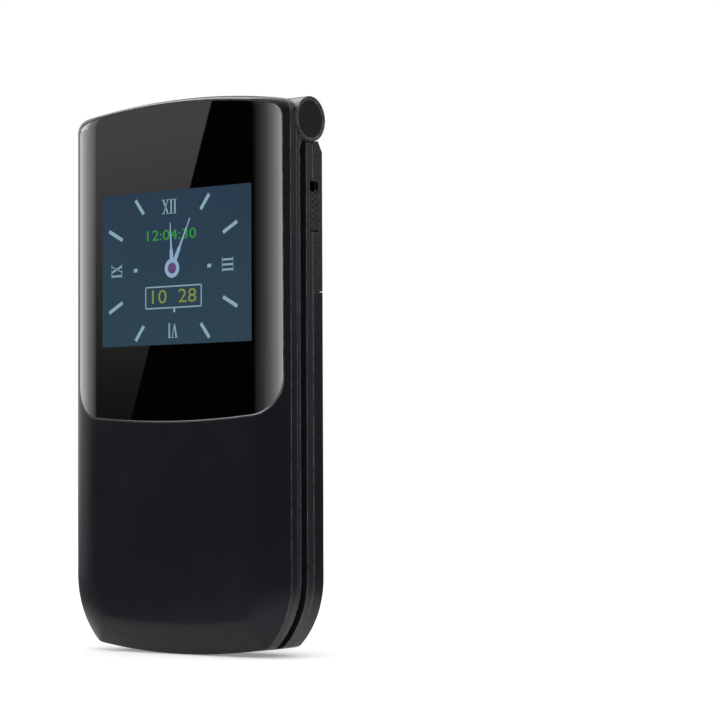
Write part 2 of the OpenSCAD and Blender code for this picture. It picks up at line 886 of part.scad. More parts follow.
module lanyard_block() {
    block(-half_w + 2.4, lanyard_z, 3.2, 2 * lanyard_pitch + 1.4,
          board_back_y + fit_gap, lanyard_y + lanyard_slot_d + 0.7);
}

// Two slots joined behind a bar, which a cord loops around.
module lanyard_slots() {
    for (s = [-1, 1])
        block(-half_w, lanyard_z + s * lanyard_pitch / 2, 5, lanyard_slot_h,
              lanyard_y, lanyard_y + lanyard_slot_d);
    block(-half_w + 1.95, lanyard_z, 1.1, lanyard_pitch, lanyard_y, lanyard_y + lanyard_slot_d);
}

// Tray under the battery cover: floor, rim, battery walls and screw seats.
module battery_tray() {
    tray_top_z = cover_top_z + cover_gap + base_wall;
    wall = 0.9;
    difference() {
        union() {
            slab(board_back_y + fit_gap, tray_floor_y + tray_floor_t)
                polygon(base_outline(tray_inset, tray_inset, tray_top_z));
            block(0, battery_mid_z, battery_w + 2 * (bay_gap + wall),
                  battery_h + 2 * (bay_gap + wall), tray_floor_y, battery_back_y - 1.6);
        }
        slab(base_seam_y - 1, tray_floor_y)
            polygon(base_outline(tray_inset + wall, tray_inset + wall, tray_top_z - base_wall));
        block(0, battery_mid_z, battery_w + 2 * bay_gap, battery_h + 2 * bay_gap,
              tray_floor_y + tray_floor_t, rear_y);
        sim_opening();
        contact_opening();
    }
    for (s = [screw_sites[1], screw_sites[2]])
        both_sides()
            rod_y(s[0], s[1], screw_head_r + 0.5, board_back_y + fit_gap, tray_floor_y + tray_floor_t);
}

module sim_opening() {
    block(sim_x, sim_z, sim_w + 1, sim_h + 1, board_back_y, rear_y);
}

module contact_opening() {
    block(contact_x, battery_top_z, contact_w + 0.6, 4, board_back_y, battery_front_y + 4);
}

module battery_cover() {
    color([0.07, 0.075, 0.08])
        difference() {
            base_form(0, base_seam_y + 0.1, cover_top_z);
            base_form(cover_wall, base_seam_y - 1, cover_top_z + 1);
        }
}

module battery() {
    color([0.25, 0.26, 0.3])
        slab(battery_front_y, battery_back_y)
            translate([0, battery_mid_z])
                round_rect(battery_w, battery_h, 1.5);
}

module battery_contacts() {
    block_h = 1.2;
    color([0.8, 0.65, 0.3]) {
        block(contact_x, battery_top_z + contact_reach + block_h / 2, contact_w, block_h,
              board_back_y, battery_front_y + 2.6);
        for (i = [-1:1])
            translate([contact_x + i * pin_pitch - pin_w / 2, battery_front_y + 0.8, battery_top_z + 0.02])
                cube([pin_w, 1.4, contact_reach]);
    }
}

module main_board() {
    inset = base_wall + board_gap;
    color([0.05, 0.3, 0.15])
        difference() {
            slab(board_y, board_back_y)
                polygon(base_outline(inset, inset, base_top_z - 2));
            both_sides()
                for (s = screw_sites)
                    rod_y(s[0], s[1], screw_r + 0.3, board_y - 1, board_back_y + 1);
            port_notch(board_y - 1, board_back_y + 1);
        }
}

module shield_can() {
    color([0.75, 0.75, 0.76])
        block(0, (shield_low_z + shield_top_z) / 2, battery_w - 2 * shield_inset, shield_top_z - shield_low_z,
              board_back_y, board_back_y + shield_t);
}

module keypad_sheet() {
    color([0.5, 0.5, 0.52])
        difference() {
            slab(sheet_y, board_y)
                translate([0, (key_low_z + keypad_top_z) / 2])
                    round_rect(2 * key_area_half - 1, keypad_top_z - key_low_z, 2);
            both_sides()
                for (s = screw_sites)
                    rod_y(s[0], s[1], boss_r + 0.1, sheet_y - 1, board_y + 1);
            port_notch(sheet_y - 1, board_y + 1);
        }
}

module loudspeaker() {
    color([0.15, 0.15, 0.15]) {
        slab(mesh_y - 1.2, mesh_y)
            translate([grille_x, grille_z])
                difference() {
                    round_rect(speaker_w, speaker_h, 4);
                    round_rect(speaker_w - 2.4, speaker_h - 2.4, 3);
                }
        slab(mesh_y - 2.6, mesh_y - 1.2)
            translate([grille_x, grille_z])
                round_rect(speaker_w, speaker_h, 4);
        rod_y(grille_x, grille_z, 6, board_back_y + 0.2, mesh_y - 2.6);
        rod_y(grille_x, grille_z, 3.2, mesh_y - 1.2, mesh_y - 0.5);
    }
}

module speaker_mesh() {
    color([0.72, 0.58, 0.28])
        block(grille_x, grille_z, 2 * grille_reach + 0.6, slot_h + 2, mesh_y, mesh_y + mesh_t);
}

module grille_crossbar() {
    color([0.1, 0.1, 0.11])
        block(grille_x, grille_z, 3 * slot_pitch + 0.4, crossbar_h, mesh_y + mesh_t, seat_y);
}

module camera_ring() {
    color([0.75, 0.52, 0.28])
        slab(plate_face_y - 0.3, plate_face_y + 0.12)
            translate([camera_x, camera_z])
                difference() {
                    stadium(ring_half_w, ring_half_h);
                    stadium(ring_half_w - camera_ring_w, ring_half_h - camera_ring_w);
                }
}

module camera_plate() {
    color([0.03, 0.03, 0.035])
        difference() {
            union() {
                slab(camera_floor_y, plate_face_y)
                    translate([camera_x, camera_z])
                        stadium(ring_half_w - camera_ring_w, ring_half_h - camera_ring_w);
                slab(camera_floor_y, plate_face_y - 0.3)
                    translate([camera_x, camera_z])
                        stadium(ring_half_w, ring_half_h);
            }
            rod_y(camera_x, lens_z, cone_r, camera_floor_y - 1, rear_y);
            block(camera_x, flash_z, flash_w - 1.4, flash_h - 1.8, camera_floor_y - 1, rear_y);
        }
}

// Stepped cone around the lens, cut as rings of falling radius.
module lens_cone() {
    color([0.3, 0.31, 0.33])
        translate([camera_x, plate_face_y, lens_z])
            rotate([90, 0, 0])
                difference() {
                    cylinder(r = cone_r, h = cone_d);
                    for (i = [0:cone_steps - 1])
                        translate([0, 0, -eps])
                            cylinder(r = cone_r - 0.25 - i * 0.48, h = cone_d * (i + 1) / cone_steps + 2 * eps);
                }
}

module camera_lens() {
    color([0.02, 0.02, 0.05])
        rod_y(camera_x, lens_z, lens_r, lens_back_y, lens_front_y);
}

module camera_module() {
    color([0.12, 0.12, 0.13]) {
        block(camera_x, lens_z, module_w, module_w, board_back_y, board_back_y + module_t);
        rod_y(camera_x, lens_z, barrel_lens_r, board_back_y + module_t, lens_back_y);
    }
}

module flash_frame() {
    color([0.75, 0.52, 0.28])
        slab(plate_face_y, plate_face_y + 0.08)
            translate([camera_x, flash_z])
                difference() {
                    square([flash_w, flash_h], center = true);
                    square([flash_w - 1, flash_h - 1], center = true);
                }
}

module flash_led() {
    color([0.95, 0.9, 0.55]) {
        block(camera_x, flash_z, led_w, led_h, plate_face_y - 0.8, plate_face_y - 0.35);
        block(camera_x, flash_z, led_body_w, led_body_h, plate_face_y - 1.75, plate_face_y - 0.8);
        block(camera_x, flash_z, led_w - 0.4, led_h - 0.9, board_back_y, plate_face_y - 1.75);
    }
}

// The flap is square at its top and round about its pivot at its lower end.
module charge_flap() {
    r = flap_t / 2;
    color([0.1, 0.1, 0.105])
        union() {
            translate([half_w - flap_t, flap_y, flap_low_z + r])
                cube([flap_t, flap_d, flap_h - r - flap_gap]);
            translate([half_w - r, flap_y + flap_d, flap_low_z + r])
                rotate([90, 0, 0])
                    cylinder(r = r, h = flap_d);
        }
}

// Room for the port, open towards the phone's side.
module port_notch(y0, y1) {
    translate([port_x - 0.1, y0, flap_low_z - 0.2])
        cube([body_w, y1 - y0, flap_h + 0.4]);
}

module charge_port() {
    z = (flap_low_z + flap_top_z) / 2;
    color([0.7, 0.7, 0.72])
        difference() {
            translate([port_x, flap_y + port_wall, z - port_len / 2])
                cube([port_deep, flap_d - 2 * port_wall, port_len]);
            translate([port_x + 4 * port_wall, flap_y + 2 * port_wall, z - port_len / 2 + 2 * port_wall])
                cube([port_deep, flap_d - 4 * port_wall, port_len - 4 * port_wall]);
        }
}

// Motor lying across the phone, in a cradle on the board.
module motor_case() {
    color([0.7, 0.7, 0.71])
        difference() {
            union() {
                along_x(motor_x - motor_len / 2, motor_x + motor_len / 2)
                    translate([motor_y, motor_z])
                        circle(motor_r);
                block(motor_x, motor_z, motor_len - 2, 3.4, board_back_y, motor_y);
            }
            along_x(motor_x + motor_len / 2 - 2, motor_x + motor_len / 2 + 1)
                translate([motor_y, motor_z])
                    circle(0.35 + shaft_play);
        }
}

// Half-round weight on the motor's shaft.
module motor_weight() {
    color([0.55, 0.52, 0.5])
        translate([motor_x + motor_len / 2, motor_y, motor_z])
            rotate([0, 90, 0]) {
                translate([0, 0, -1.9])
                    cylinder(r = 0.35, h = 2.9);
                translate([0, 0, 0.4])
                    difference() {
                        cylinder(r = 1.9, h = 3);
                        translate([-3, 0.4, -1])
                            cube([6, 4, 5]);
                    }
            }
}

module microphone() {
    color([0.6, 0.6, 0.62])
        rod_y(0, low_screw_z + 0.2, 1.8, face_inner_y + fit_gap, board_y);
}

module sim_holder() {
    color([0.72, 0.72, 0.74])
        difference() {
            block(sim_x, sim_z, sim_w, sim_h, board_back_y, battery_front_y - 0.1);
            block(sim_x, sim_z + 2, sim_w - 1, sim_h, board_back_y + 0.3, battery_front_y - 0.4);
        }
}

module screw(x, z, seat) {
    rod_y(x, z, screw_r, screw_tip_y, seat + eps);
    difference() {
        rod_y(x, z, screw_head_r, seat, seat + screw_head_t);
        block(x, z, 2, 0.35, seat + 0.3, seat + 2);
        block(x, z, 0.35, 2, seat + 0.3, seat + 2);
    }
}

module housing_screws() {
    color([0.6, 0.6, 0.62])
        both_sides()
            for (s = screw_sites)
                screw(s[0], s[1], screw_seat_y);
}

module screw_caps() {
    color([0.12, 0.12, 0.13])
        both_sides()
            chamfer_disc(screw_cap_r, 0.02, 0.6);
}

// ---------- hinge ----------

module hinge_cartridge() {
    color([0.65, 0.65, 0.67])
        difference() {
            rod_hinge(knuckle_bore_r - 0.02, -knuckle_half + 0.2, -knuckle_half + 0.2 + cartridge_len);
            rod_hinge(shaft_r + shaft_play, -knuckle_half - 1, -knuckle_half + cartridge_len - 1);
        }
}

module hinge_bush() {
    color([0.65, 0.65, 0.67])
        difference() {
            rod_hinge(knuckle_bore_r - 0.02, knuckle_half - 4.2, knuckle_half - 0.2);
            rod_hinge(shaft_r + shaft_play, knuckle_half - 5, knuckle_half + 1);
        }
}

// Wound part of the flex cable, inside the middle knuckle.
module hinge_flex() {
    color([0.75, 0.45, 0.15])
        difference() {
            rod_hinge(knuckle_bore_r - fit_gap, -3, knuckle_half - 4.3);
            rod_hinge(knuckle_bore_r - 0.4, -4, knuckle_half);
        }
}

module hinge_shafts() {
    color([0.75, 0.75, 0.76])
        for (s = [-1, 1])
            mirror([s < 0 ? 1 : 0, 0, 0])
                rod_hinge(shaft_r, knuckle_half - (s < 0 ? 10 : 3.8), shaft_end_x);
}

// ---------- lid ----------

// Window outline: side margins, a shallow arc below and the lid's own arc above.
module window_plan(grow) {
    low_z = hinge_z - window_low_drop;
    half = half_w - window_side_margin + grow;
    r = window_corner_r;
    c_low = [0, low_z + window_low_arc_r];
    r_low = window_low_arc_r + grow;
    fx = half - r;
    fz = c_low[1] - sqrt(pow(r_low - r, 2) - fx * fx);
    a = angle_to(c_low, [fx, fz]);
    half_points = concat(
        arc(c_low, r_low, -90, a, 6),
        arc([fx, fz], r, a, 0, 6, 1),
        lid_top_half(window_side_margin - grow, window_top_margin - grow)
    );
    polygon(closed(half_points));
}

module lid_cover() {
    color([0.07, 0.075, 0.08])
        difference() {
            union() {
                difference() {
                    lid_form(0, lid_seam_y);
                    lid_form(lid_wall, lid_seam_y + 1);
                }
                both_sides()
                    for (z = lid_screw_z)
                        rod_y(lid_screw_x, z, boss_r, lid_inner_y - 0.1, lid_seam_y - 0.02);
            }
            both_sides()
                for (z = lid_screw_z)
                    rod_y(lid_screw_x, z, screw_r + 0.02, lid_seam_y - 1.8, lid_seam_y + 1);
            difference() {
                slab(front_y - 1, lid_seam_y - 0.5)
                    window_plan(fit_gap);
                lid_form(window_t + 0.02, lid_seam_y);
            }
            block(clock_x, clock_z, clock_w + 1, clock_h + 1, front_y - 1, lid_inner_y + 1);
            rod_hinge(barrel_r + fit_gap, -body_w, body_w);
        }
}

module lid_window() {
    color([0.02, 0.02, 0.025])
        difference() {
            intersection() {
                lid_form(0, lid_seam_y);
                slab(front_y - 1, lid_seam_y - 0.5)
                    window_plan(0);
            }
            lid_form(window_t, lid_seam_y + 1);
        }
}

module outer_display() {
    color([0.15, 0.22, 0.3])
        block(clock_x, clock_z, clock_w, clock_h, front_y + window_t + 0.02, lid_inner_y + clock_t);
}

module lid_board() {
    color([0.05, 0.3, 0.15])
        block(0, (lid_board_low_z + lid_board_top_z) / 2, clock_w - 2 * lid_board_inset,
              lid_board_top_z - lid_board_low_z, lid_inner_y + clock_t, lid_inner_y + clock_t + lid_board_t);
}

// Concave wall that clears the middle knuckle.
module lid_cove() {
    intersection() {
        difference() {
            rod_hinge(barrel_r + barrel_gap + 0.8, -knuckle_half - 1, knuckle_half + 1);
            rod_hinge(barrel_r + barrel_gap, -body_w, body_w);
        }
        translate([-body_w, lid_seam_y - 1.2, cove_low_z])
            cube([2 * body_w, 1.2 + lid_band_d, cove_top_z - cove_low_z]);
    }
}

module lid_knuckles() {
    both_sides() {
        rod_hinge(barrel_r, knuckle_half + knuckle_gap, half_w);
        along_x(knuckle_half + knuckle_gap, half_w - 0.2)
            polygon([
                [lid_seam_y, hinge_z - barrel_r - 2],
                [lid_rim_y, hinge_z - barrel_r - 2],
                [hinge_y - 2, hinge_z - barrel_r + 0.6],
                [hinge_y - 1, hinge_z + 1],
                [lid_seam_y, hinge_z + 1]
            ]);
    }
}

module lid_inner_frame() {
    color([0.1, 0.105, 0.11])
        difference() {
            union() {
                difference() {
                    union() {
                        slab(lid_seam_y, lid_rim_y)
                            polygon(lid_outline(0.1, 0.1, frame_top_inset));
                        slab(lid_rim_y - eps, lid_face_y)
                            polygon(base_outline(plateau_step, plateau_step, plateau_top_z));
                    }
                    rod_hinge(barrel_r + barrel_gap, -knuckle_half - knuckle_gap, knuckle_half + knuckle_gap);
                }
                lid_cove();
                lid_knuckles();
            }
            both_sides()
                rod_hinge(shaft_r + 0.01, knuckle_half, shaft_end_x);
            block(0, view_z, glass_w + 0.2, glass_h + 0.2, lid_face_y - glass_t - fit_gap, lid_face_y + 1);
            block(0, view_z, view_w + 3, view_h + 5, lid_seam_y - 1, lid_face_y + 1);
            slab(lid_seam_y - 1, lid_face_y + 1)
                translate([0, ear_z])
                    round_rect(ear_slot_w, ear_slot_h, ear_slot_h / 2 - eps);
            both_sides()
                for (z = lid_screw_z)
                    rod_y(lid_screw_x, z, screw_head_r + 0.1, lid_face_y - 0.8, lid_face_y + 1);
            both_sides()
                for (z = lid_screw_z)
                    rod_y(lid_screw_x, z, screw_r + 0.1, lid_seam_y - 1, lid_face_y);
        }
}

module inner_display() {
    color([0.1, 0.12, 0.16])
        block(0, view_z, view_w + 2 * view_border_w, view_h + 2 * view_border_h,
              lid_inner_y + clock_t + lid_board_t, lid_face_y - glass_t - fit_gap);
}

module inner_window() {
    color([0.05, 0.05, 0.06])
        slab(lid_face_y - glass_t, lid_face_y)
            translate([0, view_z])
                round_rect(glass_w, glass_h, 0.8);
}

module earpiece() {
    color([0.2, 0.2, 0.2])
        slab(lid_seam_y - ear_t, lid_seam_y - 0.02)
            translate([0, ear_z])
                round_rect(ear_w, ear_h, 2);
}

module lid_bumpers() {
    color([0.15, 0.15, 0.15])
        both_sides()
            for (z = [low_screw_z, plateau_top_z - 1.8])
                rod_y(low_screw_x, z, 1.2, lid_face_y, base_face_y - 0.1);
}

module lid_screws() {
    color([0.6, 0.6, 0.62])
        both_sides()
            for (z = lid_screw_z) {
                rod_y(lid_screw_x, z, screw_r, lid_seam_y - 1.6, lid_face_y - 0.8 + eps);
                difference() {
                    rod_y(lid_screw_x, z, screw_head_r, lid_face_y - 0.8, lid_face_y - 0.25);
                    block(lid_screw_x, z, 2, 0.35, lid_face_y - 0.5, lid_face_y);
                    block(lid_screw_x, z, 0.35, 2, lid_face_y - 0.5, lid_face_y);
                }
            }
}

// End caps: flat discs with a thin raised rim.
module hinge_caps() {
    color([0.11, 0.11, 0.12])
        both_sides()
            difference() {
                rod_hinge(barrel_r, half_w, half_w + cap_t);
                rod_hinge(barrel_r - 0.35, half_w + cap_t - 0.12, half_w + cap_t + 1);
            }
}

base_front_frame();
rear_housing();
battery_cover();
battery();
battery_contacts();
main_board();
shield_can();
keypad_sheet();
loudspeaker();
speaker_mesh();
grille_crossbar();
camera_ring();
camera_plate();
lens_cone();
camera_lens();
camera_module();
flash_frame();
flash_led();
charge_flap();
charge_port();
motor_case();
motor_weight();
microphone();
sim_holder();
housing_screws();
screw_caps();
hinge_cartridge();
hinge_bush();
hinge_flex();
lid_cover();
lid_window();
outer_display();
lid_board();
inner_display();
lid_inner_frame();
inner_window();
earpiece();
lid_bumpers();
lid_screws();
hinge_caps();
hinge_shafts();
number_key(0, 3);  // key_1
number_key(1, 3);  // key_2
number_key(2, 3);  // key_3
number_key(0, 2);  // key_4
number_key(1, 2);  // key_5
number_key(2, 2);  // key_6
number_key(0, 1);  // key_7
number_key(1, 1);  // key_8
number_key(2, 1);  // key_9
number_key(0, 0);  // key_star
number_key(1, 0);  // key_0
number_key(2, 0);  // key_hash
side_key(-1, true);  // key_soft_left
side_key(1, true);  // key_soft_right
side_key(-1, false);  // key_call
side_key(1, false);  // key_end
nav_ring();
key_ok();
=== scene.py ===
"""Closed clamshell phone: its shells, clock, keypad, hinge and camera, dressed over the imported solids."""
import json
import logging
import math
from dataclasses import dataclass, replace
from enum import Enum
from typing import Sequence

import bmesh
import bpy
from mathutils import Euler, Matrix, Vector
from mathutils.kdtree import KDTree


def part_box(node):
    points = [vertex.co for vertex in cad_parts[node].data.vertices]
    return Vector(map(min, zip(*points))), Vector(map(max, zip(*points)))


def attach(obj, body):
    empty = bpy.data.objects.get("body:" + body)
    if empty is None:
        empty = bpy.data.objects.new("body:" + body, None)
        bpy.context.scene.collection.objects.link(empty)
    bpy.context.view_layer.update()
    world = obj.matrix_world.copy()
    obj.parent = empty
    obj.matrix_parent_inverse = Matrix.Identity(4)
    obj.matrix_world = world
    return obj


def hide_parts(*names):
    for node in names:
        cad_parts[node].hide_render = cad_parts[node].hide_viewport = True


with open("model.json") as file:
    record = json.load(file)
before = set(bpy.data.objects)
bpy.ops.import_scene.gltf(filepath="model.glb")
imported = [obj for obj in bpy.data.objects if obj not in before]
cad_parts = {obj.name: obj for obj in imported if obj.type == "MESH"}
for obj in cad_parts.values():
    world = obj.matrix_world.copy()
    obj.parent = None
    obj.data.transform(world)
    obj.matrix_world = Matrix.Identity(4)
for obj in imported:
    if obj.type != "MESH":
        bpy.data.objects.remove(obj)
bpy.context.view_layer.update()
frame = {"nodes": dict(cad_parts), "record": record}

LOG = logging.getLogger("phone")
MM = 0.001
# How far a cutting tool reaches past what it cuts, in millimetres.
PAST = 1.0
# Turns in degrees that lay an upright rod along X or Y.
ALONG_X = (0.0, 90.0, 0.0)
ALONG_Y = (90.0, 0.0, 0.0)

Point = tuple[float, float]
Place = tuple[float, float, float]
Colour = tuple[float, float, float]
Ring = list[Place]
Piece = bpy.types.Object
Socket = bpy.types.NodeSocket


def extent(node: str) -> tuple[Vector, Vector]:
    """Lowest and highest corner of a solid's box in millimetres."""
    low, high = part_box(node)
    return Vector(low) / MM, Vector(high) / MM


def middle(node: str) -> Vector:
    """Middle of a solid's box in millimetres."""
    low, high = extent(node)
    return (low + high) / 2


def span_of(node: str) -> Vector:
    """Lengths of a solid's box in millimetres."""
    low, high = extent(node)
    return high - low


class Facing(Enum):
    """Way that a mark faces, with the turn in degrees that brings it there."""

    FRONT = (90.0, 0.0, 0.0)
    INSIDE_LID = (-90.0, 0.0, 0.0)


class Cut(Enum):
    """Ways in which one solid changes another."""

    TAKE_AWAY = "DIFFERENCE"
    KEEP_COMMON = "INTERSECT"


# ---- outlines ----


@dataclass(frozen=True)
class Outline:
    """Outline that the lid and the base share, in millimetres across X and Z."""

    half_w: float = 28.6
    sweep_r: float = 18.3
    sweep_z: float = 15.5
    low_r: float = 146.0
    low_corner_r: float = 2.2
    top_r: float = 166.0
    top_corner_r: float = 2.7
    lid_top_z: float = 112.0

    @staticmethod
    def arc(
        centre: Point, radius: float, start: float, end: float, steps: int, first: int = 0
    ) -> list[Point]:
        """Points along an arc between two angles in degrees, from the given first one on."""
        angles = [math.radians(start + (end - start) * i / steps) for i in range(first, steps + 1)]
        return [(centre[0] + radius * math.cos(a), centre[1] + radius * math.sin(a)) for a in angles]

    @staticmethod
    def angle(origin: Point, target: Point) -> float:
        """Angle in degrees at which the target is seen from the origin."""
        return math.degrees(math.atan2(target[1] - origin[1], target[0] - origin[0]))

    @staticmethod
    def mirrored(half: list[Point]) -> list[Point]:
        """Closes a right half with its mirror image."""
        return half + [(-x, z) for x, z in reversed(half) if x > 0.001]

    def fillet_middle(self, first: Point, r_first: float, second: Point, r_second: float) -> Point:
        """Finds the middle of a fillet from its distances to two points.

        Args:
            first: First point.
            r_first: Distance from the first point.
            second: Second point.
            r_second: Distance from the second point.

        Returns:
            The middle of the fillet, on the lower right side.
        """
        d = math.dist(first, second)
        toward = math.radians(self.angle(first, second))
        swing = math.acos((r_first**2 + d**2 - r_second**2) / (2 * r_first * d))
        return (first[0] + r_first * math.cos(toward - swing), first[1] + r_first * math.sin(toward - swing))

    def lower_half(self, side: float, low: float) -> list[Point]:
        """Right half from the lowest point up to the straight side.

        Args:
            side: Inset from the side.
            low: Inset from the lower edge.

        Returns:
            The points from the lower middle to the side.
        """
        c_side, c_low = (self.half_w - self.sweep_r, self.sweep_z), (0.0, self.low_r)
        r_side, r_low = self.sweep_r - side, self.low_r - low
        corner = self.low_corner_r
        middle = self.fillet_middle(c_side, r_side - corner, c_low, r_low - corner)
        a_low, a_side = self.angle(c_low, middle), self.angle(c_side, middle)
        return (
            self.arc(c_low, r_low, -90, a_low, 18)
            + self.arc(middle, corner, a_low, a_side, 8, 1)
            + self.arc(c_side, r_side, a_side, 0, 24, 1)
        )

    def lid_top_half(self, side: float, top: float) -> list[Point]:
        """Right half of the lid's top, from the straight side to the highest point.

        Args:
            side: Inset from the side.
            top: Inset from the top edge.

        Returns:
            The points from the side to the upper middle.
        """
        centre, radius, corner = (0.0, self.lid_top_z - self.top_r), self.top_r - top, self.top_corner_r
        x = self.half_w - side - corner
        z = centre[1] + math.sqrt((radius - corner) ** 2 - x**2)
        turn = self.angle(centre, (x, z))
        return self.arc((x, z), corner, 0, turn, 8) + self.arc(centre, radius, turn, 90, 22, 1)

    def lid(self, side: float, low: float, top: float) -> list[Point]:
        """Whole outline of the lid, drawn in by the given insets."""
        return self.mirrored(self.lower_half(side, low) + self.lid_top_half(side, top))

    def base(self, side: float, low: float, top_z: float) -> list[Point]:
        """Whole outline of the base up to a straight top edge."""
        return self.mirrored(self.lower_half(side, low) + [(self.half_w - side, top_z), (0.0, top_z)])


OUTLINE = Outline()


@dataclass(frozen=True)
class Form:
    """Curved forms of the lid's front and the base's rear, in millimetres."""

    front_y: float = -8.875
    lid_seam_y: float = -4.505
    curve_w: float = 7.6
    curve_d: float = 2.45
    heel_h: float = 6.6
    side_top_y: float = 3.525
    chamfer_w: float = 7.9
    chamfer_d: float = 5.35
    cover_heel_h: float = 10.0
    steps: int = 14

    def lid(self, skin: float, y_end: float) -> list[Ring]:
        """Rings of the lid's front form: flat face, curved sides and heel.

        Args:
            skin: Distance by which the form shrinks.
            y_end: Depth at which the form ends.

        Returns:
            Rings from the flat face to the rear.
        """
        radius = (self.curve_w**2 + self.curve_d**2) / (2 * self.curve_d)
        sweep = math.asin(self.curve_w / radius)
        rings = []
        for i in range(self.steps + 1):
            turn = sweep * i / self.steps
            share = 1 - radius * math.sin(turn) / self.curve_w
            plan = OUTLINE.lid(self.curve_w * share + skin, self.heel_h * share + skin, share + skin)
            y = self.front_y + skin + radius * (1 - math.cos(turn))
            rings.append([(x, y, z) for x, z in plan])
        rings.append([(x, y_end, z) for x, z in OUTLINE.lid(skin, skin, skin)])
        return rings

    def base(self, skin: float, y_start: float, top_z: float) -> list[Ring]:
        """Rings of the base's rear form: straight side, plane chamfers, curved heel and flat face.

        Args:
            skin: Distance by which the form shrinks.
            y_start: Depth at which the form starts.
            top_z: Height of its straight top edge.

        Returns:
            Rings from the seam to the rear face.
        """
        rings = [[(x, y_start, z) for x, z in OUTLINE.base(skin, skin, top_z)]]
        for i in range(self.steps + 1):
            turn = math.pi / 2 * i / self.steps
            side = self.chamfer_w * math.sin(turn) + skin
            low = self.cover_heel_h * (1 - math.cos(turn)) + skin
            y = self.side_top_y - skin / 2 + (self.chamfer_d - skin / 2) * math.sin(turn)
            rings.append([(x, y, z) for x, z in OUTLINE.base(side, low, top_z)])
        return rings


FORM = Form()


# ---- modelling ----


